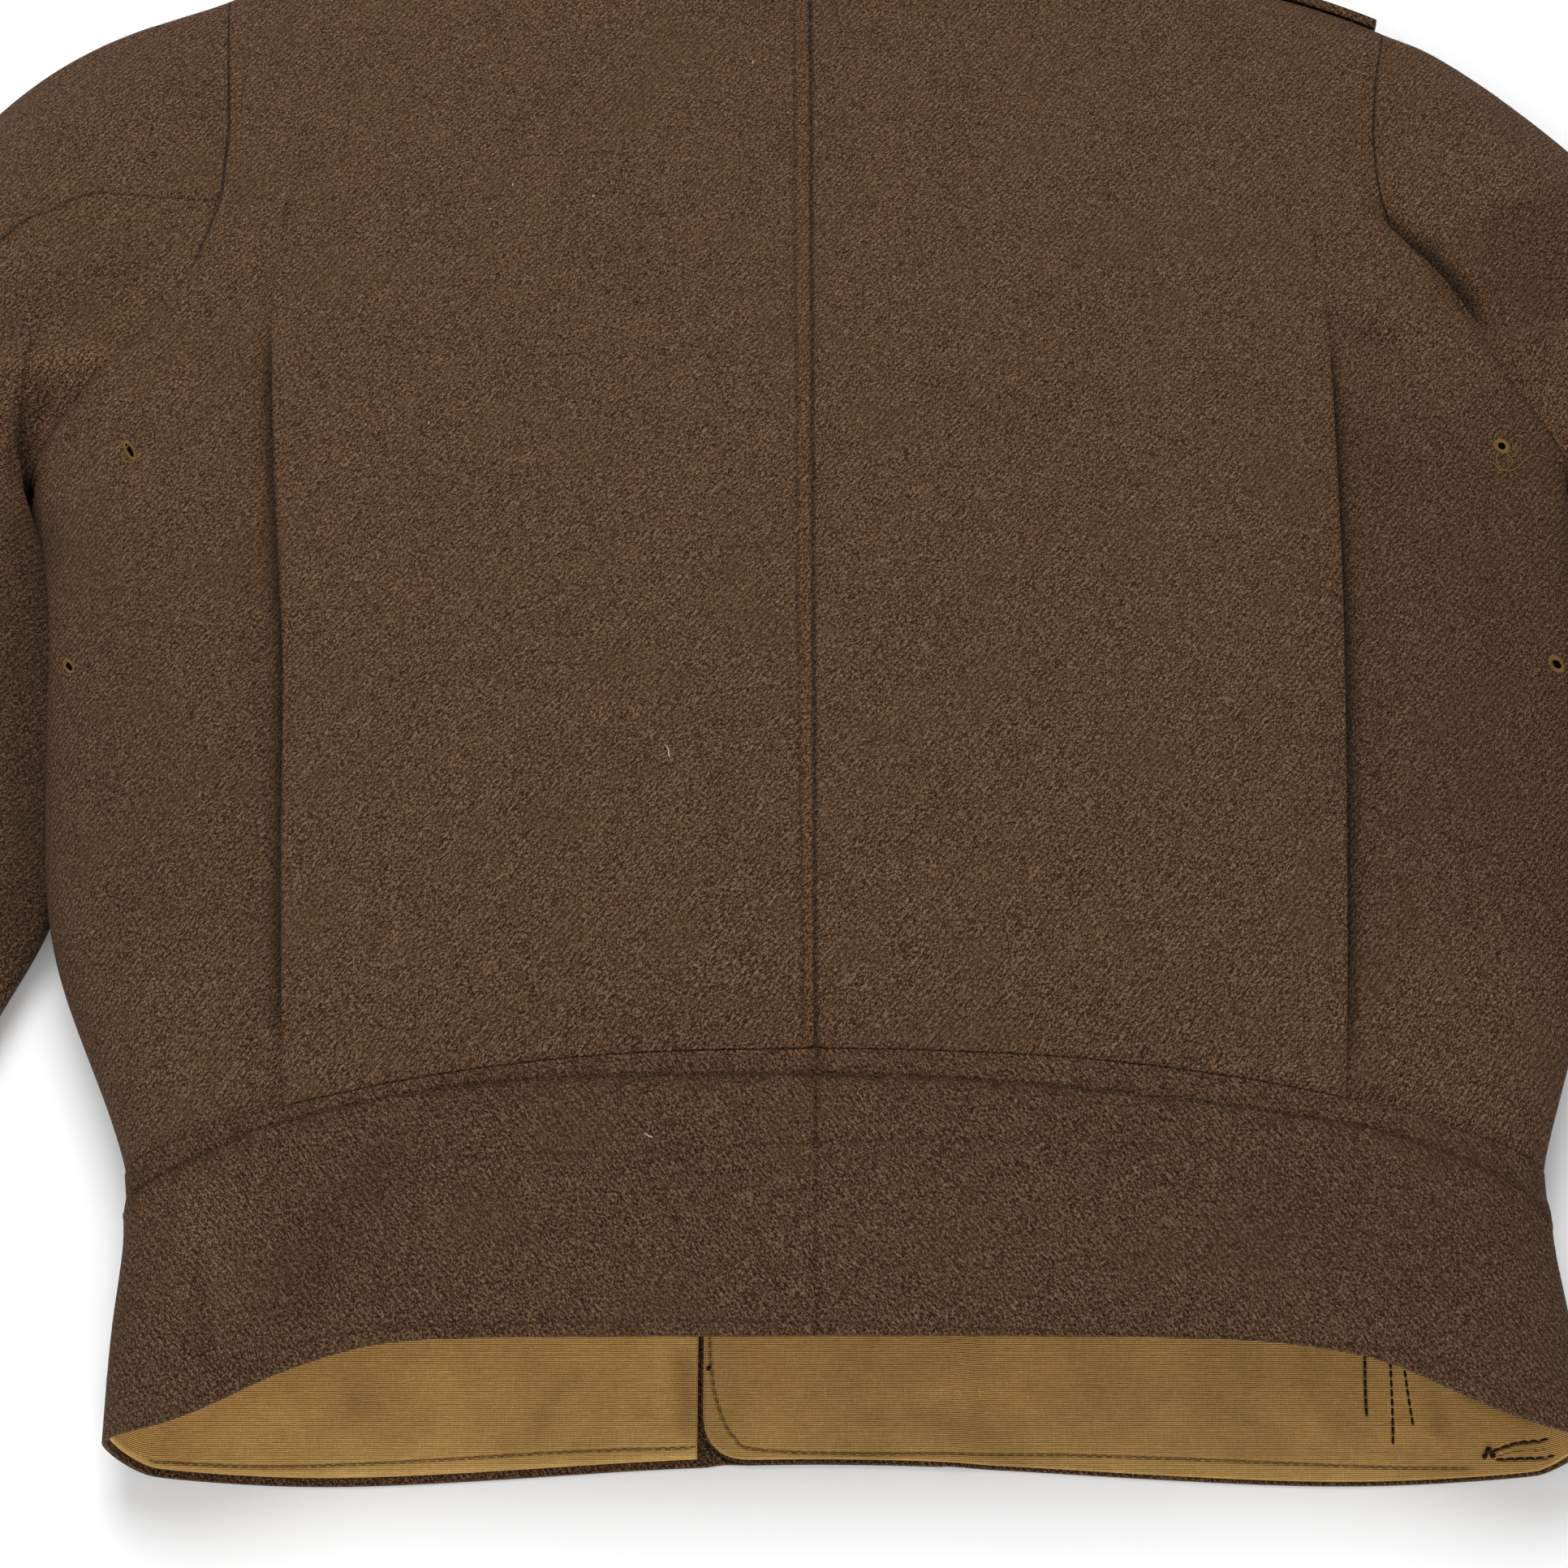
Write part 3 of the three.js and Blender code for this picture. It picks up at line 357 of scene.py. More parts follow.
@dataclass(frozen=True)
class WoolFinish:
    """Napped wool twill, spun from fibres of several browns."""

    name: str
    lean: Lean = Lean.RISING
    tone: float = 0.71
    ground: Triple = (0.087, 0.036, 0.009)
    pale: Triple = (0.25, 0.149, 0.084)
    russet: Triple = (0.115, 0.037, 0.014)
    olive: Triple = (0.078, 0.044, 0.0165)
    dark: Triple = (0.016, 0.0066, 0.0028)
    rib: float = 1.8
    rib_angle: float = math.radians(53)
    wander_pitch: float = 7.0
    wander: float = 1.3
    fleck_pitch: float = 0.4
    fleck_shape: Triple = (1.0, 0.42, 0.7)
    fibre_pitch: float = 0.6
    fibre_shape: Triple = (1.0, 0.3, 1.0)
    fibre_turn: float = 1.1
    patch_pitch: float = 34.0
    relief: float = 0.0006
    roughness: float = 0.95
    sheen: float = 0.02
    sheen_roughness: float = 0.5
    sheen_tint: Triple = (0.8, 0.6, 0.45)

    def material(self) -> bpy.types.Material:
        """Builds the cloth's material."""
        s = Shader(self.name)
        where, x, y = s.place()
        angle = self.rib_angle * self.lean.value
        wander = s.noise(where, self.wander_pitch, 1.0) * self.wander
        across = (x * math.sin(angle) - y * math.cos(angle)) / self.rib
        ribs = (across + wander).wave()
        along_ribs = s.stretched(where, self.fleck_shape, math.pi / 2 - angle)
        fleck = s.noise(along_ribs, self.fleck_pitch, 1.0, 0.6)
        aslant = s.stretched(where, self.fibre_shape, self.fibre_turn)
        fibre = s.noise(aslant, self.fibre_pitch, 2.0, 0.7)
        patches = s.noise(where, self.patch_pitch, 3.0, 0.6)
        colour = s.blend(fleck.step(0.5, 0.62), self.ground, self.pale)
        for share, fibres in (
            (fleck.step(0.5, 0.38) * 0.95, self.dark),
            (fibre.step(0.54, 0.66) * 0.5, self.russet),
            (fibre.step(0.44, 0.34) * 0.5, self.pale),
            (patches.step(0.5, 0.68) * 0.35, self.olive),
        ):
            colour = s.blend(share, colour, fibres)
        seam, rows, dash = s.sewing()
        # Painted shade: the shade beside folded edges and the tint from the shadows darken the colour.
        light = (ribs * 0.5 + 0.77) * (patches * 0.4 + 0.8) * (1 - s.folded_edge())
        light = light * (1 - seam * 0.6) * (1 - rows * 0.34) * (1 - dash * 0.25) * s.read("tint") * self.tone
        height = ribs * 0.6 + fleck * 0.9 - seam * 2.4 - rows * 1.4 - dash * 0.8
        material = s.finish(s.shade(colour, light), height, self.relief, self.roughness)
        s.surface.inputs["Sheen Weight"].default_value = self.sheen
        s.surface.inputs["Sheen Roughness"].default_value = self.sheen_roughness
        s.surface.inputs["Sheen Tint"].default_value = (*self.sheen_tint, 1.0)
        return material


@dataclass(frozen=True)
class DrillFinish:
    """Tan cotton, plainly woven, with slubs in its yarns."""

    name: str
    tone: float = 1.0
    ground: Triple = (0.62, 0.36, 0.108)
    pale: Triple = (0.85, 0.58, 0.24)
    stain: Triple = (0.5, 0.265, 0.09)
    yarn: float = 0.62
    wander_pitch: float = 9.0
    wander: float = 0.5
    slub_pitch: float = 0.3
    slub_shapes: tuple[Triple, Triple] = ((0.06, 1.0, 1.0), (1.0, 0.06, 1.0))
    patch_pitch: float = 26.0
    spot_pitch: float = 8.0
    relief: float = 0.0004
    roughness: float = 0.85

    def material(self) -> bpy.types.Material:
        """Builds the lining's material."""
        s = Shader(self.name)
        where, x, y = s.place()
        wander = s.noise(where, self.wander_pitch, 1.0) * self.wander
        warp = (x / self.yarn + wander).wave()
        weft = (y / self.yarn + wander).wave()
        yarns = (s.stretched(where, shape) for shape in self.slub_shapes)
        slub, slub_up = (s.noise(yarn, self.slub_pitch, 1.0, 0.6) for yarn in yarns)
        patches = s.noise(where, self.patch_pitch)
        spots = s.noise(where, self.spot_pitch)
        slubs = slub.step(0.48, 0.76) + slub_up.step(0.5, 0.8)
        colour = s.blend(slubs * 0.36, self.ground, self.pale)
        colour = s.blend(spots.step(0.56, 0.74) * 0.4, colour, self.stain)
        _, rows, dash = s.sewing()
        # Painted shade: the tint from the shadows darkens the lining's creases and lightens their ridges.
        light = (warp * 0.1 + weft * 0.13 + 0.87) * (patches * 0.6 + 0.7)
        light = light * (1 - rows * 0.35) * (1 - dash * 0.4) * s.read("tint") * self.tone
        height = warp * 0.4 + weft * 0.5 + slub * 0.4 - rows * 1.2 - dash * 0.8
        return s.finish(s.shade(colour, light), height, self.relief, self.roughness)


@dataclass(frozen=True)
class PlainFinish:
    """Thread, fibres, table or any other small thing of nearly one colour."""

    name: str
    colour: Triple
    grain: float = 0.4
    depth: float = 0.0001
    roughness: float = 0.8
    spread: float = 0.5
    gloss: float = 0.1

    def material(self) -> bpy.types.Material:
        """Builds the material."""
        s = Shader(self.name)
        where, _, _ = s.place()
        grain = s.noise(where, self.grain)
        light = grain * self.spread + (1 - self.spread / 2)
        return s.finish(s.shade(self.colour, light), grain, self.depth, self.roughness, self.gloss)


@dataclass(frozen=True)
class Cut:
    """How one piece of cloth was cut: its width, length and area, flat, in metres."""

    width: float
    length: float
    area: float


@dataclass(frozen=True)
class Line:
    """A line on the jacket, as X and Y in millimetres, drawn as a smooth curve through its points."""

    points: tuple[tuple[float, float], ...]
    steps: int = 5

    def curve(self) -> np.ndarray:
        """The line's points with a smooth curve between them."""
        given = np.array(self.points, dtype=float)
        if len(given) < 3:
            return given
        ends = np.vstack([2 * given[0] - given[1], given, 2 * given[-1] - given[-2]])
        out = []
        for a, b, c, d in zip(ends, ends[1:], ends[2:], ends[3:]):
            for t in np.arange(self.steps) / self.steps:
                bend = 2 * a - 5 * b + 4 * c - d + t * (3 * (b - c) + d - a)
                out.append(b + 0.5 * t * (c - a + t * bend))
        return np.array([*out, given[-1]])

    def measure(self, x: np.ndarray, y: np.ndarray) -> tuple[np.ndarray, np.ndarray, float]:
        """Where places lie against the line.

        Args:
            x: places across the jacket, in millimetres.
            y: places along it.

        Returns:
            How far each place lies beside the line, positive to its left, how far along it, and its length.
        """
        curve = self.curve()
        nearest = np.full_like(x, np.inf)
        beside = np.full_like(x, np.inf)
        along = np.zeros_like(x)
        start = 0.0
        for (ax, ay), (bx, by) in zip(curve, curve[1:]):
            length = math.hypot(bx - ax, by - ay)
            ux, uy = (bx - ax) / length, (by - ay) / length
            share = np.clip((x - ax) * ux + (y - ay) * uy, 0.0, length)
            away = np.hypot(x - ax - share * ux, y - ay - share * uy)
            closer = away < nearest
            sign = np.where(ux * (y - ay) - uy * (x - ax) < 0, -1.0, 1.0)
            nearest = np.where(closer, away, nearest)
            beside = np.where(closer, away * sign, beside)
            along = np.where(closer, start + share, along)
            start += length
        return beside, along, start

    def fading(self, x: np.ndarray, y: np.ndarray, start: float, end: float) -> tuple[np.ndarray, np.ndarray]:
        """Where places lie beside the line, for something that fades out at its ends.

        Args:
            x: places across the jacket, in millimetres.
            y: places along it.
            start: share of the line over which it fades in.
            end: share of it over which it fades out.

        Returns:
            How far each place lies beside the line, and the strength there, from 0 to 1.
        """
        beside, along, total = self.measure(x, y)
        share = along / total
        return beside, smooth(0.0, start, share) * (1 - smooth(1 - end, 1.0, share))


@dataclass(frozen=True)
class Fold:
    """A crease, or a ridge where its depth is negative, in the jacket's upper side."""

    line: Line
    depth: float
    width: float
    flank: Flank = Flank.BOTH
    fade: float = 0.25
    stand_off: float = 1.5
    rise: float = 2.0
    floor: float = 3.0

    def sink(self, x: np.ndarray, y: np.ndarray) -> np.ndarray:
        """How far the cloth sinks at each place, in millimetres, fading out at the line's ends."""
        beside, ends = self.line.fading(x, y, self.fade, self.fade)
        if self.flank is Flank.BOTH:
            return self.depth * ends * bell(beside, self.width)
        out = beside * self.flank.value
        rise = smooth(self.stand_off, self.stand_off + self.rise, out)
        return self.depth * ends * rise * bell(np.maximum(out - self.floor, 0), self.width)


@dataclass(frozen=True)
class Swell:
    """A stretch of a sleeve's edge that bulges sideways, in millimetres."""

    line: Line
    reach: tuple[float, float]
    width: float
    fade_in: float = 0.2
    fade_out: float = 0.3

    def shift(self, x: np.ndarray, y: np.ndarray) -> np.ndarray:
        """How far each place moves along X and Y, fading out at the line's ends."""
        beside, ends = self.line.fading(x, y, self.fade_in, self.fade_out)
        return np.outer(ends * bell(beside, self.width), self.reach)


@dataclass(frozen=True)
class Edge:
    """A crisp edge of folded cloth, with the painted shade that it throws on one flank."""

    line: Line
    flank: Flank
    depth: float
    fade: float = 0.12


@dataclass(frozen=True)
class Row:
    """A row of stitches along a line, which draws the cloth in."""

    line: Line
    depth: float = 1.0
    fade: float = 4.0


@dataclass(frozen=True)
class Shadow:
    """A soft patch of painted shade along a line, or of painted highlight where its tint is above 1."""

    line: Line
    tint: float
    width: float
    flank: Flank = Flank.BOTH
    fade: float = 0.2
    edge: tuple[float, float] = (-0.3, 0.6)

    def shade(self, x: np.ndarray, y: np.ndarray) -> np.ndarray:
        """The factor on the cloth's brightness at each place."""
        beside, ends = self.line.fading(x, y, self.fade, self.fade)
        if self.flank is not Flank.BOTH:
            ends = ends * smooth(*self.edge, beside * self.flank.value)
        return 1 + (self.tint - 1) * ends * bell(beside, self.width)


class Patterns:
    """The lines of the jacket, in millimetres, that its pieces share."""

    # The back: the pleats, the lap at its middle, and the gathers above the waist.
    pleat_left = Line((
        (-189.5, 104), (-188.5, 82.3), (-184.5, 35.3), (-175.5, -48.7), (-171.6, -112), (-166, -206),
    ))
    pleat_right = Line((
        (185, 96), (184.5, 70.3), (183.5, 25.3), (180.5, -48.7), (175.2, -129), (169.8, -206),
    ))
    lap_row = Line(((-3.6, 262), (-3.4, 123), (-2.9, 16), (-2.4, -80), (-1.4, -193)))
    gathers = tuple(Line(((x, -128), (x + 0.5, -160), (x + 1, -199))) for x in (-85.5, -43.5, 46.4, 81.2))
    swells = tuple(Line(((x, -135), (x, -199))) for x in (-85, -43, 46, 82, 120))
    # Lines of painted shade: low on the back above the waist, and down its two sides.
    low_back = Line(((-170, -196), (-80, -188), (3, -186), (90, -189), (170, -199)))
    side_left = Line(((-232, 30), (-226, -60), (-214, -170)))
    side_right = Line(((226, 90), (226, -40), (214, -170)))

    # The waistband's wool.
    strip_row = Line((
        (-226, -238), (-212, -231), (-190, -223.5), (-165.5, -215.6), (-125.8, -208.4), (-87.7, -205),
        (-42, -203.9), (3, -203.7), (51.8, -205.5), (110.1, -210.6), (168.7, -216.9), (202.3, -224.4),
        (222, -231), (236, -239),
    ))
    second_row = Line((
        (-125.1, -230.3), (-87.1, -228.9), (-54.3, -229.3), (-24.1, -227.3), (2.3, -225.7), (46.5, -224.9),
        (89.4, -225.3), (127.3, -226.7),
    ))
    hem_row = Line((
        (-197.4, -307), (-172.4, -295.4), (-147.8, -285.5), (-98, -283), (-33.7, -282.6), (0.9, -282.9),
        (74.9, -285.7), (174.3, -289.1), (199.4, -294.8), (221.8, -306.8),
    ))
    band_crease = Line(((-191.5, -252), (-190.1, -260.3), (-187.2, -276.2), (-184, -297)))
    band_valley = Line(((-118, -218), (-138, -237), (-152, -256), (-158, -276), (-161, -292)))
    # Painted highlight on the band's left corner, and painted shade towards its right end.
    band_corner = Line(((-182, -228), (-188, -250), (-184, -284)))
    band_right = Line(((120, -240), (180, -252), (225, -268)))

    # The waistband's lining.
    lining_row_left = Line(((-208.2, -309.1), (-170, -310.8), (-126.6, -309.2), (-75.6, -306), (-35, -304.6)))
    lining_row_right = Line((
        (-31.3, -262), (-31.1, -273.1), (-29.7, -286), (-26.5, -296.6), (-23.1, -301.9), (-16.7, -305.8),
        (16.5, -307.2), (78, -307), (139.2, -309.2), (180, -311), (210.6, -311.3),
    ))
    dark_rows = (
        Line(((178.1, -270), (177.2, -286.7), (177, -296))),
        Line(((186, -270), (185.4, -290.7), (184.7, -303.4))),
        Line(((189.6, -270), (190.7, -288), (191.5, -298.1))),
        Line(((215.5, -306.2), (224.1, -303.4), (234.8, -302.8))),
        Line(((216.5, -308.8), (226.3, -308.4), (234.4, -308.6))),
    )
    dark_knots = ((214.5, -306, 1.5), (213.2, -307.8, 1.1), (215.8, -307.6, 1.2), (-31.5, -279.6, 1.0))
    # The lining's creases, drawn only as painted shade, with painted highlight where the tint is above 1.
    lining_creases = (
        (Line(((-70, -278), (-78, -286), (-88, -300))), 0.84),
        (Line(((-140, -284), (-146, -293), (-158, -304))), 0.87),
        (Line(((-40, -270), (-39, -290), (-37, -306))), 0.72),
        (Line(((8, -300), (22, -295), (40, -297), (64, -303))), 0.86),
        (Line(((30, -290), (52, -286), (75, -292))), 1.12),
        (Line(((112, -283), (126, -290), (150, -300))), 0.87),
        (Line(((160, -278), (164, -292), (172, -304))), 0.86),
        (Line(((196, -280), (198, -292), (205, -304))), 0.7),
        (Line(((205, -284), (222, -292), (238, -296))), 0.6),
        (Line(((176, -303), (190, -300), (204, -304))), 1.15),
    )

    # The right armhole and underarm.
    right_fold = Line((
        (208.5, 158), (208.6, 146), (212.5, 139), (217.4, 135), (223.8, 129), (230.5, 120.5), (235.8, 112.2),
        (239.6, 104), (243.4, 97.1), (248.6, 91.5),
    ))
    right_ridge = Line(((243, 92), (256.5, 88), (272, 82), (290, 74)))
    right_minor = Line(((182, 96.5), (192.2, 92.4), (203.4, 85.5), (212, 80)))
    # Painted shade in the hollow under the right arm.
    right_hollow = Line(((250, 150), (258, 132), (262, 112), (280, 96)))
    right_seam_end = Line(((244, 96), (250, 84), (258, 68), (268, 50), (276, 30)))
    right_back_seam = Line(((224, 133), (245, 128), (270, 122), (300, 110), (340, 90)))

    # The left armhole and underarm.
    left_ridge = Line(((-296, 66), (-282.2, 73.5), (-268, 78.5), (-254.1, 80.3), (-240, 79)))
    # Painted highlight along the left ridge.
    left_ridge_light = Line(((-240, 84), (-262, 80), (-285, 74)))
    left_crease = Line(((-262, 71.5), (-268.5, 67.5), (-273.5, 60.5), (-276, 50), (-275.5, 38), (-273, 26)))
    left_lobe = Line(((-279, 33), (-275.1, 28.8), (-268, 20), (-262, 9), (-258, -6)))
    # Painted shade on the left sleeve below its seam.
    left_hollow = Line(((-228, 128), (-250, 115), (-275, 100), (-300, 90)))
    left_seam_end = Line(((-225, 112), (-236, 100), (-250, 86), (-262, 72), (-270, 50), (-274, 30)))
    # The left sleeve's inner edge swells out and carries painted shade beside the body.
    left_inner_edge = Line((
        (-270, 50), (-269, 20), (-266, -14), (-263, -57), (-259, -109), (-262, -150), (-268, -175),
    ))

    # Loose things: thread at the eyelets, and lint with the length of each bit.
    loose_threads = (
        Line((
            (242.1, 41), (240.6, 37.3), (242, 34), (244.6, 33.4), (247.7, 35), (251.7, 39.5), (256, 42.6),
            (261.7, 42.2),
        )),
        Line(((244.5, 41), (246.5, 38), (245, 35), (242, 33), (239.8, 35.5))),
        Line(((-236, 42.5), (-238, 38), (-235, 35), (-233.2, 36))),
        Line(((-250.8, -40), (-252.2, -43.5), (-249.9, -46.5))),
    )
    lint = (
        (-19.2, 209.9, 1.6), (-105.5, 150.3, 1.4), (-112.7, 140, 1.3), (-75.7, 145.7, 1.4),
        (-130.3, 44.6, 1.4), (-46.5, -86.8, 5.5), (-50.9, -222.7, 2.6), (-50.2, -223.4, 2.2),
    )


@dataclass
class Panel:
    """One piece of cloth: a fine copy of its solid, drawn to its neighbours, pressed with folds and given
    painted shade.
    """

    node: str
    finish: str
    cut: Cut
    slot: str = "wool_khaki"
    levels: int = 2
    rests_on: tuple[str, ...] = ()
    beside: tuple[str, ...] = ()
    folds: tuple[Fold, ...] = ()
    rows: tuple[Row, ...] = ()
    shadows: tuple[Shadow, ...] = ()
    edges: tuple[Edge, ...] = ()
    swells: tuple[Swell, ...] = ()
    plain_seams: tuple[Line, ...] = ()
    plain_within: float = 16.0
    seam_depth: float = 1.0
    shaded_from: float = LOWER_SIDE
    shade_rise: float = 13.0
    merged_within: float = 2e-6
    joined_below: float = math.radians(50)
    joined_shape: float = math.radians(60)
    creased_over: float = math.radians(74)
    sharp_over: float = 0.8
    sharp_within: float = 2.0
    undulation: float = 0.7
    undulation_scale: Triple = (0.021, 0.017, 3.0)

    def fine_mesh(self) -> bpy.types.Mesh:
        """Copies the solid's mesh, merges it and divides it smoothly, with its rims kept sharp."""
        bm = bmesh.new()
        bm.from_mesh(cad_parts[self.node].data)
        bmesh.ops.remove_doubles(bm, verts=bm.verts, dist=self.merged_within)
        bmesh.ops.join_triangles(
            bm, faces=bm.faces, angle_face_threshold=self.joined_below,
            angle_shape_threshold=self.joined_shape,
        )
        crease = bm.edges.layers.float.new("crease_edge")
        for edge in bm.edges:
            if edge.is_manifold and edge.calc_face_angle() > self.creased_over:
                edge[crease] = 1.0
        mesh = bpy.data.meshes.new(self.node)
        bm.to_mesh(mesh)
        bm.free()
        return evaluated(mesh, self.levels)

    def draw_together(self, places: np.ndarray, trees: Trees) -> np.ndarray:
        """Draws the piece's rims to the pieces that it is sewn to, so that the seams close.

        Args:
            places: the mesh's points, changed here.
            trees: the solids of all pieces, by name.

        Returns:
            How far each point lay from the nearest neighbour, in millimetres.
        """
        apart = np.full(len(places), SEAM_SEARCH)
        pull = np.zeros_like(places)
        for name in self.beside:
            tree = trees[name]
            for index, place in enumerate(places):
                hit, _, _, distance = tree.find_nearest(place, apart[index] * MM)
                if hit is None:
                    continue
                apart[index] = distance / MM
                pull[index] = np.array(hit) - place
        strength = (1 - smooth(0.0, SEAM_REACH, apart))[:, None]
        lengths = np.maximum(apart, 0.05)[:, None] * MM
        places += pull * (0.5 + SEAM_LAP * MM / lengths) * strength
        return apart

    def press(self, mesh: bpy.types.Mesh, trees: Trees) -> None:
        """Closes the seams, presses the folds, and marks the sewing and the painted shade on the mesh's
        points.
        """
        places = np.empty(len(mesh.vertices) * 3)
        mesh.vertices.foreach_get("co", places)
        places = places.reshape(-1, 3)
        apart = self.draw_together(places, trees)
        for swell in self.swells:
            places[:, :2] += swell.shift(*places[:, :2].T / MM) * MM
        x, y, z = places.T / MM
        sink = np.zeros_like(z)
        for fold in self.folds:
            sink += fold.sink(x, y)
        # The shadows paint shade, and highlight where above 1, into the tint of each point.
        tint = np.ones_like(z)
        for shadow in self.shadows:
            tint *= shadow.shade(x, y)
        across, up, slice_at = self.undulation_scale
        waves = [noise.noise((a * across, b * up, slice_at)) for a, b in zip(x, y)]
        sink += self.undulation * np.array(waves)
        upper = smooth(LOWER_SIDE, UPPER_SIDE, z)
        tint = 1 + (tint - 1) * smooth(self.shaded_from, self.shaded_from + self.shade_rise, z)
        places[:, 2] = np.maximum(z - sink * upper, 0.0) * MM
        mesh.vertices.foreach_set("co", places.ravel())
        marks = {"seam": apart, "seam_depth": self.seam_strength(x, y), "tint": tint}
        marks.update(self.row_marks(x, y))
        marks.update(self.edge_marks(x, y))
        for name, values in marks.items():
            mesh.attributes.new(name, "FLOAT", "POINT").data.foreach_set("value", values.astype(np.float32))
        mesh.update()
        mesh.shade_smooth()
        self.sharpen(mesh, apart)

    def seam_strength(self, x: np.ndarray, y: np.ndarray) -> np.ndarray:
        """How deep the seams look at each place: they vanish beside the plain ones."""
        strength = np.full_like(x, self.seam_depth)
        for line in self.plain_seams:
            beside, _, _ = line.measure(x, y)
            strength *= smooth(self.plain_within * 0.4, self.plain_within, np.abs(beside))
        return strength

    def row_marks(self, x: np.ndarray, y: np.ndarray) -> dict[str, np.ndarray]:
        """Where each place lies against the nearest row of stitches.

        Args:
            x: places across the jacket, in millimetres.
            y: places along it.

        Returns:
            The distance across the row, the distance along it and its depth, by attribute name.
        """
        across = np.full_like(x, 99.0)
        along = np.zeros_like(x)
        depth = np.zeros_like(x)
        for row in self.rows:
            beside, travelled, total = row.line.measure(x, y)
            strength = row.depth * smooth(0.0, row.fade, travelled) * smooth(0.0, row.fade, total - travelled)
            strength *= 1 - smooth(ROW_REACH, 2 * ROW_REACH, np.abs(beside))
            closer = np.abs(beside) < np.abs(across)
            across = np.where(closer, beside, across)
            along = np.where(closer, travelled, along)
            depth = np.where(closer, strength, depth)
        return {"across": across, "along": along, "row_depth": depth}

    def edge_marks(self, x: np.ndarray, y: np.ndarray) -> dict[str, np.ndarray]:
        """Where each place lies against the nearest folded edge.

        Args:
            x: places across the jacket, in millimetres.
            y: places along it.

        Returns:
            The distance out from the edge and the strength of its shade, by attribute name.
        """
        edge = np.full_like(x, -99.0)
        depth = np.zeros_like(x)
        for fold in self.edges:
            beside, strength = fold.line.fading(x, y, fold.fade, fold.fade)
            strength = strength * fold.depth * (1 - smooth(EDGE_REACH, 1.5 * EDGE_REACH, np.abs(beside)))
            closer = np.abs(beside) < np.abs(edge)
            edge = np.where(closer, beside * fold.flank.value, edge)
            depth = np.where(closer, strength, depth)
        return {"edge": edge, "edge_depth": depth}

    def sharpen(self, mesh: bpy.types.Mesh, apart: np.ndarray) -> None:
        """Keeps the shading flat across a closed seam, so that only the sewing draws it."""
        bm = bmesh.new()
        bm.from_mesh(mesh)
        bm.verts.ensure_lookup_table()
        for edge in bm.edges:
            a, b = (vert.index for vert in edge.verts)
            sewn = max(apart[a], apart[b]) < self.sharp_within
            if sewn and edge.is_manifold and edge.calc_face_angle() > self.sharp_over:
                edge.smooth = False
        bm.to_mesh(mesh)
        bm.free()

    def build(self, finishes: Finishes, trees: Trees) -> bpy.types.Object:
        """Args:
            finishes: the materials by name.
            trees: the solids of all pieces, by name.

        Returns:
            The piece.
        """
        mesh = self.fine_mesh()
        mesh.name = self.node
        self.press(mesh, trees)
        piece = add_piece(f"{self.node}_cloth", mesh, finishes[self.finish])
        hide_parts(self.node)
        return piece


